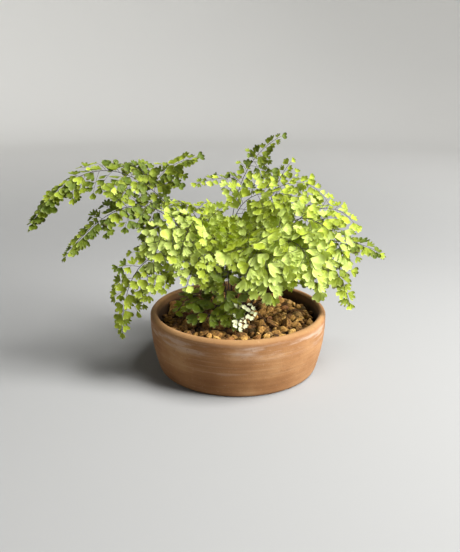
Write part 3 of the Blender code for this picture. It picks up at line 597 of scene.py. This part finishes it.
def makeFilling():
    # the soil: a turned block whose top sinks by lumps
    soilPaint = soilLook()
    top = filling["soilTop"]
    side = [(0, 8.9), (70, 8.9), (77, 10.2), (80.5, 15), (83.6, 36), (84.2, top - 0.6), (82.5, top)]
    rest = [(radius, top) for radius in np.linspace(78, 6, 19)] + [(0, top)]
    fill = closedTurn("soil_fill", np.array(side + rest, float), 96)

    def sunk(points):
        sag = 0.6 + lumps(points * (1, 1, 0), 3, 9, 0.5)
        points[:, 2] -= np.where(points[:, 2] > top - 0.7, sag, 0)
        return points

    reshape(fill, sunk)
    finishPiece(fill, soilPaint, "soil", "soil")

    # the mound: an oval dome with lumps, its foot hidden in the gravel
    wide, deep = filling["moundRadii"]
    foot = top + 0.4
    rise = filling["moundTop"] - top
    share = np.linspace(0, 1, 19)
    profile = np.stack([share * wide, foot + rise * dome(share)], 1)
    mound = closedTurn("soil_mound", np.concatenate([profile, [[0, foot]]])[::-1], 64)

    def lumped(points):
        bumps = lumps(points, 8, 7, 0.7) + lumps(points, 9, 3, 0.35) - 1.2
        points[:, 2] += np.where((points[:, 2] - top) / rise > 0.3, bumps, 0)
        points[:, 1] *= deep / wide
        points[:, :2] *= 0.97
        points[:, :2] += filling["moundCentre"]
        return points

    reshape(mound, lumped)
    finishPiece(mound, soilPaint, "soil", "root_mound")

    # crumbs lie loose on the mound, and none lower than the gravel
    count = filling["crumbs"]
    draws = np.random.default_rng(17)
    flat = sunflower(count, 1.0) + draws.uniform(-0.04, 0.04, (count, 2))
    height = top + rise * dome(np.linalg.norm(flat, axis=1)) - 0.9
    height = np.maximum(height, filling["gravelTop"] - 2)
    crumbs = np.column_stack([flat * filling["moundRadii"] * 1.02 + filling["moundCentre"], height])
    sizes = draws.uniform(*filling["crumbSize"], count)
    finishPiece(scattered("soil_crumbs", crumbs, sizes, 1, 21, 0.5), soilPaint, "soil")

    places = stonePlaces()
    sizes = np.random.default_rng(77).uniform(*filling["stoneSize"], len(places))
    stones = scattered("gravel_stones", places[:, :3], sizes, 2, 6, 0.40, places[:, 3])
    finishPiece(stones, stoneLook(), "gravel", "gravel")
    print("filling laid:", len(places), "stones and", count, "crumbs")


makeFilling()


# the fern
# points: the stalk's foot, two points that steer its curve, and its tip, in mm. bare: the share of the
# stalk without leaflets. reach: the longest side branch. fan: the largest leaflet. face: the way the
# frond looks. tone: 0 is a dark old green, 1 a fresh lime; it is partly painted shade and light, lower
# on fronds that lie in shade or too near the lamps and higher on lit ones. sprays: long side branches,
# each given by the share of the stalk where it leaves, its bend, its tip and its reach. droop and pitch:
# how far its leaflets hang and how close they grow, where growth's leafDroop and leafPitch do not hold.
fronds = dict(
    upper_left=dict(
        points=((-16, 18), (-62, 5, 205), (-140, -10, 268), (-211, -20, 160)),
        bare=0.47, reach=28, fan=13, face=(-0.1, -0.6, 0.8), tone=0.18, pitch=3.0,
        sprays=(
            (0.50, (-90, 8, 215), (-45, 25, 223), 21),
            (0.52, (-92, 2, 214), (-112, 2, 219), 16),
        ),
    ),
    mid_left=dict(
        points=((-22, 14), (-62, 0, 215), (-125, -15, 195), (-175, -30, 131)),
        bare=0.42, reach=25, fan=12.5, face=(-0.2, -0.7, 0.6), tone=0.14, pitch=3.4,
    ),
    low_left=dict(
        points=((-24, 9), (-50, -20, 150), (-114, -40, 160), (-118, -55, 58)),
        bare=0.40, reach=34, fan=12.5, face=(-0.3, -0.9, 0.3), tone=0.38,
    ),
    left_mass=dict(
        points=((-17, 4), (-45, -10, 175), (-75, -30, 195), (-88, -45, 112)),
        bare=0.40, reach=44, fan=13, face=(-0.2, -0.8, 0.5), tone=0.90,
    ),
    centre_left=dict(
        points=((-11, 9), (-22, -5, 175), (-45, -25, 205), (-62, -48, 120)),
        bare=0.33, reach=42, fan=13, face=(-0.1, -0.8, 0.5), tone=0.82,
        sprays=((0.38, (-22, 4, 158), (-24, 8, 168), 20),),
    ),
    front_left=dict(
        points=((-10, 1), (-16, -18, 140), (-34, -38, 160), (-52, -54, 106)),
        bare=0.38, reach=34, fan=13, face=(-0.1, -0.9, 0.4), tone=0.64,
        sprays=((0.40, (-13, -20, 150), (-8, -42, 168), 28),),
    ),
    back_left=dict(
        points=((-18, 25), (-30, 40, 150), (-60, 70, 190), (-100, 110, 150)),
        bare=0.34, reach=40, fan=12, face=(-0.2, 0.4, 0.9), tone=0.40,
    ),
    top=dict(
        points=((-10, 23), (-12, 38, 150), (-6, 40, 215), (46, 48, 242)),
        bare=0.64, reach=18, fan=9, face=(-0.1, -0.7, 0.7), tone=0.20, pitch=3.2,
        sprays=(
            (0.70, (-15, 38, 202), (-44, 34, 194), 13),
            (0.80, (44, 42, 218), (35, 40, 188), 12),
        ),
    ),
    top_right=dict(
        points=((0, 25), (28, 40, 130), (34, 44, 190), (58, 50, 214)),
        bare=0.62, reach=16, fan=10, face=(0, -0.8, 0.6), tone=0.55,
        sprays=((0.80, (78, 38, 210), (98, 26, 172), 18),),
    ),
    centre_up=dict(
        points=((-4, 17), (-16, 12, 150), (-10, 5, 206), (60, -10, 187)),
        bare=0.60, reach=32, fan=14, face=(0, -0.5, 0.9), tone=0.58, droop=0.10,
        sprays=(
            (0.34, (4, -10, 166), (40, -32, 150), 42),
            (0.30, (-14, -6, 158), (-30, -30, 146), 36),
            (0.38, (-24, 14, 176), (-44, 8, 160), 30),
        ),
    ),
    right_mass=dict(
        points=((7, 12), (30, 10, 160), (75, 0, 200), (112, -12, 122)),
        bare=0.37, reach=50, fan=16, face=(0.2, -0.7, 0.65), tone=0.88,
    ),
    right_up=dict(
        points=((6, 23), (40, 25, 150), (90, 20, 198), (126, 15, 152)),
        bare=0.45, reach=40, fan=12.5, face=(0.2, -0.5, 0.8), tone=0.58,
    ),
    right_out=dict(
        points=((12, 18), (45, 20, 125), (105, 20, 150), (154, 20, 120)),
        bare=0.50, reach=30, fan=13.5, face=(0.1, -0.6, 0.75), tone=0.12,
    ),
    right_low=dict(
        points=((12, 8), (40, 0, 130), (95, -10, 155), (116, -26, 80)),
        bare=0.42, reach=32, fan=14.5, face=(0.3, -0.8, 0.5), tone=0.25,
    ),
    front=dict(
        points=((-3, 6), (5, -15, 150), (20, -55, 177), (33, -63, 101)),
        bare=0.38, reach=46, fan=19, face=(0, -0.9, 0.4), tone=0.88,
    ),
    front_right=dict(
        points=((4, 4), (25, -5, 140), (60, -40, 185), (78, -60, 106)),
        bare=0.36, reach=48, fan=17, face=(0.1, -0.85, 0.5), tone=0.90,
    ),
    back_right=dict(
        points=((3, 30), (20, 50, 140), (50, 85, 180), (80, 120, 140)),
        bare=0.33, reach=44, fan=13, face=(0.2, 0.4, 0.9), tone=0.45,
    ),
    back=dict(
        points=((-7, 30), (-8, 60, 130), (-10, 100, 160), (-12, 140, 112)),
        bare=0.32, reach=40, fan=13, face=(0, 0.5, 0.85), tone=0.52,
    ),
    centre_low=dict(
        points=((-7, 4), (-6, -14, 125), (-9, -38, 142), (-14, -54, 88)),
        bare=0.28, reach=44, fan=15.5, face=(0, -0.9, 0.4), tone=0.06,
    ),
    low_front=dict(
        points=((-16, -2), (-18, -12, 92), (-22, -30, 100), (-32, -50, 66)),
        bare=0.38, reach=36, fan=19, face=(-0.1, -0.8, 0.6), tone=0.12,
    ),
    low_side=dict(
        points=((-26, 20), (-38, 12, 80), (-54, -6, 84), (-64, -26, 68)),
        bare=0.45, reach=10, fan=11, face=(-0.3, -0.7, 0.6), tone=0.45,
    ),
    young=dict(
        points=((-1, -3), (0, -12, 82), (0, -34, 92), (-1, -57, 61)),
        bare=0.42, reach=18, fan=8.0, face=(0.4, -0.7, 0.8), tone=0.5, pitch=5.0,
    ),
)

# how every frond grows, in mm and degrees. fillers: the length of the second set of branches. leafSwing:
# how far a leaflet's angle, droop and roll vary. trims: the sizes tried in turn until it is clear.
# steep: from where and over how much a steep stalk's leaflets turn to the front.
growth = dict(
    stalkFoot=56.0, steep=(0.45, 0.35), front=(0.15, 1.0, -0.1),
    firstPitch=7.0, shortestBranch=13.0, fillers=0.72,
    branchAngle=62, bends=(0, 0.2, -0.2, 0.4, -0.4, 0.6),
    leafPitch=4.3, leafScale=0.92, leafStalk=0.16, leafAngle=58, leafDroop=0.24, leafRoll=20,
    leafSwing=(12, 0.18, 14), toLight=0.42,
    trims=(1.0,) * 4 + (0.92,) * 3 + (0.84,) * 3 + (0.75,) * 2 + (0.66,) * 2,
    mostShapes=4096, overMound=66.0, overGravel=6.5, clearance=0.12,
    blade=0.28, stalkRadius=0.62, branchRadius=0.25, leafStalkRadius=0.13,
)


class Rib:
    # a curve with the way its frond faces, carried along it without twisting
    def __init__(self, frond, level, points, face, reach, key):
        self.frond, self.level, self.points, self.reach, self.key = frond, level, points, reach, key
        steps = np.linalg.norm(np.diff(points, axis=0), axis=1)
        self.along = np.concatenate([[0], np.cumsum(steps)])
        self.length = self.along[-1]
        tangents = unit(np.gradient(points, axis=0))
        self.normals = np.zeros(points.shape)
        middle = len(points) * 2 // 3
        for way in (range(middle, len(points)), range(middle, -1, -1)):
            normal = face
            for k in way:
                normal = unit(normal - (normal @ tangents[k]) * tangents[k])
                self.normals[k] = normal
        if level == 0:
            # where a stalk stands steep its leaflets turn to the front or the back
            steep = np.clip((tangents[:, 2:] - growth["steep"][0]) / growth["steep"][1], 0, 1)
            front = np.where(self.normals[:, 1:2] > 0.1, 1, -1) * np.array(growth["front"])
            mixed = (1 - steep) * self.normals + steep * front
            self.normals = unit(mixed - (mixed * tangents).sum(-1, keepdims=True) * tangents)
        self.start, self.root, self.children = 0.0, 0.0, []

    def carried(self, values, distance):
        # values kept at the curve's points, read off at a distance along it
        return np.array([np.interp(distance, self.along, column) for column in values.T]).T

    def spot(self, distance):
        return self.carried(self.points, distance)

    def at(self, distance):
        # the point at this distance, the way the curve runs there, its face, and across it
        step = 0.02 * self.length
        along = unit(self.spot(distance + step) - self.spot(distance - step))
        normal = self.carried(self.normals, distance)
        normal = unit(normal - (normal @ along) * along)
        return self.spot(distance), along, normal, np.cross(normal, along)


def bezier(ends, count):
    # the cubic curve v^3 a + 3 v^2 u b + 3 v u^2 c + u^3 d, with v = 1 - u
    u = np.linspace(0, 1, count)[:, None]
    a, b, c, d = ends
    return (1 - u) ** 3 * a + 3 * (1 - u) ** 2 * u * b + 3 * (1 - u) * u * u * c + u**3 * d


def mainRibs(name, order):
    # a frond's stalk and its sprays, which leave the stalk's curve towards their bend
    plan = fronds[name]
    face = unit(np.array(plan["face"], float))
    ends = [np.array([*plan["points"][0], growth["stalkFoot"]], float)]
    ends += [np.array(p, float) for p in plan["points"][1:]]
    stalk = Rib(name, 0, bezier(ends, 49), face, plan["reach"], (order, 0))
    stalk.start = plan["bare"] * stalk.length
    ribs = [stalk]
    for index, (share, bend, tip, reach) in enumerate(plan.get("sprays", ())):
        root = share * stalk.length
        begin, bend, tip = stalk.spot(root), np.array(bend, float), np.array(tip, float)
        ends = [begin, begin * 0.4 + bend * 0.6, bend * 0.6 + tip * 0.4, tip]
        rib = Rib(name, 1, bezier(ends, 25), face, reach, (order, 100 + index))
        rib.start, rib.root = 0.06 * rib.length, root
        stalk.children.append(rib)
        ribs.append(rib)
    return ribs


def clearOfPot(points):
    # above the gravel inside the bowl, above the rim over the wall, outside the wall beside it
    reach = np.hypot(points[:, 0], points[:, 1])
    height = points[:, 2]
    mouth = bowl["mouth"] - 1
    gravel = filling["gravelTop"] + growth["overGravel"]
    floor = np.where(moundReach(points) < 1.1, growth["overMound"], gravel)
    inside = (reach < mouth) & (height > floor)
    above = (reach >= mouth) & (height > bowl["height"] + 0.8)
    beside = reach > bowl["rimRadius"] + 1.5
    return bool((inside | above | beside).all())


def roundHull(points):
    # the middle of the points, and how far the furthest of them is from it
    middle = points.mean(0)
    return middle, np.linalg.norm(points - middle, axis=1).max()


class Room:
    # the shapes that already stand in the plant, so that nothing new runs through them
    def __init__(self):
        self.trees, self.owners = [], []
        self.middles, self.reaches = np.empty((growth["mostShapes"], 3)), np.empty(growth["mostShapes"])

    def add(self, points, faces, owner):
        count = len(self.trees)
        self.middles[count], self.reaches[count] = roundHull(points)
        self.trees.append(BVHTree.FromPolygons(points.tolist(), faces))
        self.owners.append(owner)

    def free(self, points, faces, skip):
        # no shape but the skipped one is crossed; only those whose round hulls overlap are looked at
        middle, reach = roundHull(points)
        count = len(self.trees)
        gap = np.linalg.norm(self.middles[:count] - middle, axis=1) - self.reaches[:count]
        tree = None
        for index in np.nonzero(gap < reach)[0]:
            if self.owners[index] != skip:
                tree = tree or BVHTree.FromPolygons(points.tolist(), faces)
                if tree.overlap(self.trees[index]):
                    return False
        return True


def ringFaces(rows, sides):
    # quads between rings of vertices: one, the next round its ring, and the same two of the next ring
    here = np.arange(rows - 1)[:, None] * sides + np.arange(sides)
    after = np.arange(rows - 1)[:, None] * sides + (np.arange(sides) + 1) % sides
    return np.stack([here, after, after + sides, here + sides], -1).reshape(-1, 4)


def ribBody(rib):
    # a three-sided tube round the rib, used only to keep other pieces off it
    marks = np.linspace(2.0, rib.length, max(4, int(rib.length / 6)))
    points = rib.spot(marks)
    side = unit(np.cross(np.gradient(points, axis=0), up + 0.01))
    over = unit(np.cross(side, np.gradient(points, axis=0)))
    radius = (growth["stalkRadius"] if rib.level == 0 else growth["branchRadius"]) + growth["clearance"]
    corners = np.stack([points + radius * (np.cos(t) * side + np.sin(t) * over) for t in (0, 2.1, 4.2)], 1)
    return corners.reshape(-1, 3), ringFaces(len(points), 3).tolist()


def branches(rib, room, key, scale=1.0):
    # side branches by turns left and right, longest near the start, each bent until it is clear
    draws = np.random.default_rng(key)
    side = 1 if draws.random() < 0.5 else -1
    place = rib.start
    total = rib.length - place
    taken = [child.root for child in rib.children]
    while place < rib.length - 5:
        share = (rib.length - place) / total
        length = scale * rib.reach * min(1.0, share**0.8 * 1.05) * draws.uniform(0.85, 1.15)
        spread, lean, sag = draws.uniform(-8, 8), draws.uniform(-0.15, 0.15), draws.uniform(0.17, 0.33)
        twist = 0.25 * draws.standard_normal(3)
        if length < min(growth["shortestBranch"], fronds[rib.frond]["fan"]):
            break
        spot, along, normal, over = rib.at(place)
        crowded = any(abs(place - root) < 2.5 for root in taken)
        for bend in () if crowded else growth["bends"]:
            angle = np.radians(growth["branchAngle"] + spread + 14 * bend)
            way = unit(np.cos(angle) * along + side * np.sin(angle) * over + (lean + bend) * normal)
            u = np.linspace(0, 1, 9)[:, None]
            curve = spot + way * length * u - up * sag * length * u**2
            childKey = (*rib.key, len(rib.children) + 1)
            child = Rib(rib.frond, rib.level + 1, curve, unit(normal + twist), 0.42 * length, childKey)
            body = ribBody(child)
            if clearOfPot(curve) and room.free(*body, (rib.frond, rib.key)):
                child.start, child.root = min(6.0, 0.25 * length), place
                rib.children.append(child)
                room.add(*body, (rib.frond, child.key))
                break
        place += max(growth["firstPitch"], 0.27 * length) * draws.uniform(0.9, 1.1)
        side = -side


def leafFrame(rib, place, side, shape):
    # where a leaflet grows, the way it points, the way its outer edge lies and its face: it leaves the
    # rib at an angle, droops, turns part of the way to the light and rolls over like a shingle
    spot, along, normal, over = rib.at(place)
    plan, toLight = fronds[rib.frond], growth["toLight"]
    turn, droop, tilt = shape * growth["leafSwing"]
    angle = np.radians(growth["leafAngle"] + turn)
    axis = along if side == 0 else np.cos(angle) * along + side * np.sin(angle) * over
    axis = unit(axis - up * (plan.get("droop", growth["leafDroop"]) + droop))
    light = unit(np.array(plan["face"], float))
    face = unit((1 - toLight) * normal + toLight * light * (1 if normal @ light > 0 else -1))
    axis = unit(axis - 0.75 * (face @ axis) * face)
    face = unit(face - (face @ axis) * axis)
    edge = np.cross(face, axis) * (-side or 1)
    roll = np.radians(growth["leafRoll"] + tilt)
    return spot, axis, edge * np.cos(roll) + face * np.sin(roll), face * np.cos(roll) - edge * np.sin(roll)


# a leaflet: how far it spreads to each side, in degrees, how many lobes it has and how often, how deep
# and sharp they are cut, how far it is cupped, droops, waves and is creased, as shares of its size, and
# how often it is ripe, with sizes in mm
fan = dict(
    halfAngle=(43, 60), turned=(-0.08, 0.12), roundness=0.35,
    lobes=(2, 3, 4), lobeShares=(0.15, 0.60, 0.25), twoLobesUnder=4.2,
    notch=(0.14, 0.37), sharpness=(1.6, 3.0),
    cup=(-0.03, 0.11), droop=(0.0, 0.14), wave=(0.01, 0.05), crease=(0.01, 0.05),
    ripe=0.22, ripeOver=5, toneSpread=0.17, cells=12, stations=(0.0, 0.5, 1.0),
)


def leafBody(neck, axis, edge, face, size):
    # a plain thin fan, used only to keep leaflets off one another
    turn = np.radians((-52, -28, 0, 28, 52))[:, None]
    rim = neck + size * np.cos(turn) ** fan["roundness"] * (np.cos(turn) * axis + np.sin(turn) * edge)
    loop = np.concatenate([neck[None] + axis * 0.8, rim])
    half = face * (growth["blade"] + growth["clearance"]) / 2
    faces = [(0, k, k + 1) for k in range(1, 5)] + [(6, k + 7, k + 6) for k in range(1, 5)]
    faces += [(k, (k + 1) % 6, (k + 1) % 6 + 6, k + 6) for k in range(6)]
    return np.concatenate([loop + half, loop - half]), faces


def leaflets(rib, room, key):
    # leaflets by turns left and right and one at the tip, each turned or trimmed until it is clear
    plan = fronds[rib.frond]
    draws = np.random.default_rng(key)
    pitch = min(plan.get("pitch", growth["leafPitch"]), 0.36 * plan["fan"])
    side = 1 if draws.random() < 0.5 else -1
    place = rib.start
    wanted = []
    largest = plan["fan"] * growth["leafScale"]
    while place < rib.length - 0.6 * pitch:
        size = largest * (0.66 + 0.34 * min(1, (rib.length - place) / 30)) * draws.uniform(0.8, 1.18)
        if all(abs(place - child.root) > 1.2 for child in rib.children):
            wanted.append((place, side, size))
        place += pitch * draws.uniform(0.85, 1.15)
        side = -side
    wanted.append((rib.length, 0, largest * 0.7 * draws.uniform(0.85, 1.15)))
    for place, side, size in wanted:
        shape = draws.uniform(-1, 1, 3)
        for trim in growth["trims"]:
            spot, axis, edge, face = leafFrame(rib, place, side, shape)
            neck = spot + axis * size * trim * growth["leafStalk"]
            body = leafBody(neck, axis, edge, face, size * trim)
            if clearOfPot(body[0]) and insideBox(body[0]) and room.free(*body, (rib.frond, rib.key)):
                room.add(*body, None)
                yield spot, neck, axis, edge, face, size * trim
                break
            shape = np.clip(shape * 0.3 + draws.uniform(-1.7, 1.7, 3), -2.2, 2.2)


def insideBox(points):
    # a little inside the solids' box
    low, high = (np.array(corner) / mm for corner in cadBox)
    return bool((points > low + 0.4).all() and (points < high - 0.4).all())


def growFern():
    # every stalk first, then two levels of branches on all fronds, then the leaflets
    room = Room()
    family = {name: mainRibs(name, order) for order, name in enumerate(fronds)}
    for name, ribs in family.items():
        for rib in ribs:
            room.add(*ribBody(rib), (name, rib.key))
    for level in range(2):
        for ribs in family.values():
            for rib in [rib for rib in ribs if rib.level == level]:
                before = len(rib.children)
                branches(rib, room, [11, *rib.key])
                branches(rib, room, [12, *rib.key], growth["fillers"])
                ribs += rib.children[before:]
    leaves = {}
    for name, ribs in family.items():
        leaves[name] = [leaf for rib in ribs for leaf in leaflets(rib, room, [23, *rib.key])]
    return family, leaves


# the fern's surfaces
def fanSurface(leaves, seed, tone):
    # a leaflet: across it a runs from -1 to 1, outward b from 0 to 1, and its point lies at
    # size * R(a) * b from the neck, at angle t = halfAngle * a. R is cos(t)^roundness, dipping between
    # lobes as |2q - 1|^p, with q the share of a lobe passed. Its height is a cup a^2 b less a droop
    # b^2, with a wave and a crease on each lobe.
    draws = np.random.default_rng(seed)
    neck, axis, edge, face = (np.array([leaf[k] for leaf in leaves])[:, None, None] for k in range(1, 5))
    size = np.array([leaf[5] for leaf in leaves])
    count = len(size)

    def draw(low, high):
        return draws.uniform(low, high, (count, 1, 1))

    a = np.linspace(-1, 1, fan["cells"] + 1)[None, None]
    b = np.array(fan["stations"])[None, :, None]
    lobes = draws.choice(fan["lobes"], count, p=fan["lobeShares"])
    lobes = np.where(size < fan["twoLobesUnder"], 2, lobes)[:, None, None]
    q = (a + 1) / 2 * lobes
    dip = np.abs(2 * (q - np.floor(q)) - 1) ** draw(*fan["sharpness"])
    dip = np.where(np.abs(a) > 0.99, 1, dip)
    notch = draw(*fan["notch"])
    turn = np.radians(draw(*fan["halfAngle"])) * (a + 0.05 * np.sin(np.pi * a + draw(0, 6.3)))
    rim = (1 - notch * dip) * np.cos(turn) ** fan["roundness"] + 0.04 * np.sin(3.1 * a + draw(0, 6.3))
    turn = turn + draw(*fan["turned"])
    scale = size[:, None, None]
    reach = scale * rim * b
    height = draw(*fan["cup"]) * a**2 * b - draw(*fan["droop"]) * b**2
    height = height + draw(*fan["wave"]) * b**2 * np.sin(draw(3, 6) * a + draw(0, 6.3))
    height = height - draw(*fan["crease"]) * dip * b**2
    flat = reach[..., None] * (np.cos(turn)[..., None] * axis + np.sin(turn)[..., None] * edge)
    middle = neck + flat + (scale * height)[..., None] * face
    thick = growth["blade"] * (1 - 0.35 * b[..., None])
    sides = np.stack([middle + thick / 2 * face, middle - thick / 2 * face], 1)
    points = sides.reshape(-1, 3)
    # the neck is one point a side: of the first station only its first vertex is used
    wide = fan["cells"] + 1
    half = 3 * wide
    k = np.arange(fan["cells"])
    tips = np.stack([np.zeros_like(k), wide + k, wide + k + 1], 1)
    quads = np.stack([wide + k, 2 * wide + k, 2 * wide + k + 1, wide + k + 1], 1)
    loop = np.array([0, wide, *range(2 * wide, half), 2 * wide - 1])
    after = np.roll(loop, -1)
    rims = np.stack([loop, loop + half, after + half, after], 1)
    tris = np.concatenate([tips[:, ::-1], tips + half])
    quads = np.concatenate([quads[:, ::-1], quads + half, rims])
    groups = [repeated(tris, count, 2 * half), repeated(quads, count, 2 * half)]
    uv = np.stack(np.broadcast_arrays((a + 1) / 2, b), -1)
    uv = np.broadcast_to(uv[:, None], (count, 2, *uv.shape[1:])).reshape(-1, 2)
    own = np.clip(tone + draws.normal(0, fan["toneSpread"], count) - 0.06 * (size > 8), 0, 1)
    ripe = (draws.random(count) < fan["ripe"]) & (size > fan["ripeOver"])
    values = {"tone": own, "ripe": ripe * 1.0, "lobes": lobes[:, 0, 0] / max(fan["lobes"])}
    return points, groups, {key: np.repeat(each, 2 * half) for key, each in values.items()}, uv


def tubeSurface(paths, radii, sides):
    # rings of a few points round each path; the frame is carried along it; each end closes in a point
    along = unit(np.gradient(paths, axis=1))
    normal = np.cross(along[:, 0], np.where(np.abs(along[:, 0, 2:]) > 0.8, [[1.0, 0, 0]], up[None]))
    frames = []
    for k in range(paths.shape[1]):
        normal = unit(normal - (normal * along[:, k]).sum(-1, keepdims=True) * along[:, k])
        frames.append(normal)
    side = np.stack(frames, 1)
    over = np.cross(along, side)
    turn = np.arange(sides) * 2 * np.pi / sides
    ring = np.cos(turn)[:, None] * side[:, :, None] + np.sin(turn)[:, None] * over[:, :, None]
    rings = paths[:, :, None] + radii[..., None, None] * ring
    count, rows = paths.shape[:2]
    points = np.concatenate([rings.reshape(count, -1, 3), paths[:, :1], paths[:, -1:]], 1)
    stride = points.shape[1]
    k = np.arange(sides)
    last = (rows - 1) * sides
    foot = np.stack([np.full(sides, stride - 2), (k + 1) % sides, k], 1)
    tip = np.stack([np.full(sides, stride - 1), last + k, last + (k + 1) % sides], 1)
    groups = [ringFaces(rows, sides), np.concatenate([foot, tip])]
    return points.reshape(-1, 3), [repeated(faces, count, stride) for faces in groups]


def joined(parts):
    # several surfaces as one, with each one's vertex numbers moved past the last's
    points, groups, offset = [], [], 0
    for piecePoints, pieceGroups in parts:
        points.append(piecePoints)
        groups += [group + offset for group in pieceGroups]
        offset += len(piecePoints)
    return np.concatenate(points), groups


def stemSurface(ribs, leaves):
    # the stalk, its branches and the hair-fine stalks of the leaflets, each a tapering tube
    parts = []
    for level, count, radius, taper, sides in (
        (0, 40, growth["stalkRadius"], 0.72, 8),
        (1, 12, growth["branchRadius"], 0.5, 5),
    ):
        chosen = [rib for rib in ribs if min(rib.level, 1) == level]
        if chosen:
            paths = np.stack([rib.spot(np.linspace(0, rib.length, count)) for rib in chosen])
            slim = np.array([0.8 if rib.level == 2 else 1.0 for rib in chosen])[:, None]
            radii = radius * slim * (1 - taper * np.linspace(0, 1, count))
            parts.append(tubeSurface(paths, radii, sides))
    if leaves:
        foot = np.array([leaf[0] for leaf in leaves])
        neck = np.array([leaf[1] + leaf[2] * 0.25 for leaf in leaves])
        share = np.linspace(0, 1, 3)[None, :, None]
        paths = foot[:, None] * (1 - share) + neck[:, None] * share
        radii = np.full(paths.shape[:2], growth["leafStalkRadius"])
        parts.append(tubeSurface(paths, radii, 4))
    return joined(parts)


# the colours of a green and of a pale leaflet: its tones from shade to light, its veins, and the light
# that comes through it. The pale leaflet's near-white tones are its young colour, pushed up as painted
# light for the sun that the young cluster misses under the fronds above
leafPaint = dict(
    green=dict(
        tones=(
            (0.05, (0.055, 0.078, 0.004)),
            (0.30, (0.212, 0.252, 0.013)),
            (0.55, (0.425, 0.500, 0.042)),
            (0.80, (0.620, 0.715, 0.200)),
        ),
        veins=(0.10, 0.20, 0.01),
        through=(0.70, 0.80, 0.07, 1),
    ),
    pale=dict(
        tones=(
            (0.10, (0.60, 0.68, 0.16)),
            (0.30, (0.95, 0.96, 0.52)),
            (0.55, (0.99, 0.99, 0.74)),
        ),
        veins=(0.5, 0.6, 0.25),
        through=(0.95, 0.98, 0.6, 1),
    ),
)


def leafLook(name, kind):
    # a thin blade: forked veins fan out from the neck, the tone varies from leaf to leaf, brown spore
    # patches sit on the lobes of ripe green leaflets, pale margins are partly the leaflet's own and partly
    # a painted highlight, and light comes through from behind
    look = Finish(name, Roughness=0.5, Specular_IOR_Level=0.25)
    paint = leafPaint[kind]
    uv = look.node("UVMap", "UV", {"uv_map": "fan"}, {})
    across, outward = look.part(uv, "X"), look.part(uv, "Y")
    tone, ripe, lobes = look.value("tone"), look.value("ripe"), look.value("lobes")
    mottle = look.noise(look.place(), 190, 3)
    shade = tone * 0.85 + mottle * 0.3 - 0.08 if kind == "green" else tone * 0.6 + outward * 0.5
    coarse = abs((across * 11).fract() - 0.5).smooth(0.10, 0.0)
    fine = abs((across * 22).fract() - 0.5).smooth(0.14, 0.0) * outward.smooth(0.45, 0.6)
    veins = coarse.math("MAXIMUM", coarse, fine) * outward.smooth(0.04, 0.2)
    perLobe = (across * lobes * max(fan["lobes"])).fract()
    spores = abs(perLobe - 0.5).smooth(0.24, 0.16) * outward.smooth(0.86, 0.90) * ripe
    colour = look.layered(
        look.ramp(shade, *paint["tones"]),
        (veins * 0.30, paint["veins"]),
        (outward.smooth(0.20, 0.5) * outward.smooth(0.90, 0.68) * 0.10, (0.20, 0.30, 0.01)),
        # pale margins, stronger with tone: partly the leaflet's own edge, partly a painted highlight
        (outward.smooth(0.86, 0.97) * (0.12 + 0.34 * tone), (0.76, 0.83, 0.34)),
        (outward.smooth(0.10, 0.0) * 0.5, (0.12, 0.08, 0.01)),
    )
    if kind == "green":
        colour = look.blend(spores * 0.9, colour, (0.035, 0.018, 0.006))
    look.paint(Base_Color=colour, Roughness=0.44 + 0.2 * mottle)
    look.bump(veins * 0.7 + mottle * 0.3, 0.0004, 0.5)
    through = look.node("BsdfTranslucent", 0, {}, {"Color": paint["through"]})
    shader = Wire(look, look.shader.outputs[0])
    mixed = look.node("MixShader", 0, {}, {0: 0.18 + 0.30 * tone, 1: shader, 2: through})
    look.feed(look.output.inputs["Surface"], mixed)
    return look.material


def stemLook():
    # polished near-black wire, browner in patches
    look = Finish("stemGloss", Roughness=0.3, Specular_IOR_Level=0.5)
    stain = look.noise(look.place(), 120, 2)
    look.paint(Base_Color=look.ramp(stain, (0.4, (0.010, 0.006, 0.005)), (0.7, (0.034, 0.014, 0.008))))
    look.paint(Roughness=0.25 + 0.25 * stain)
    return look.material


def makeFern():
    # each frond is two pieces, its stems and its leaflets
    family, leaves = growFern()
    print("fern grown:", sum(len(found) for found in leaves.values()), "leaflets")
    green, pale, dark = leafLook("leafGreen", "green"), leafLook("leafPale", "pale"), stemLook()
    for order, (name, ribs) in enumerate(family.items()):
        stems = addMesh(name + "_stems", *stemSurface(ribs, leaves[name]))
        finishPiece(stems, dark, "stalk", name + "_stalk")
        points, groups, values, uv = fanSurface(leaves[name], [31, order], fronds[name]["tone"])
        blades = addMesh(name + "_leaflets", points, groups, values, uv)
        young = name == "young"
        finishPiece(blades, pale if young else green, "young_leaf" if young else "leaf", name + "_blade")


makeFern()
print("fern dressed")
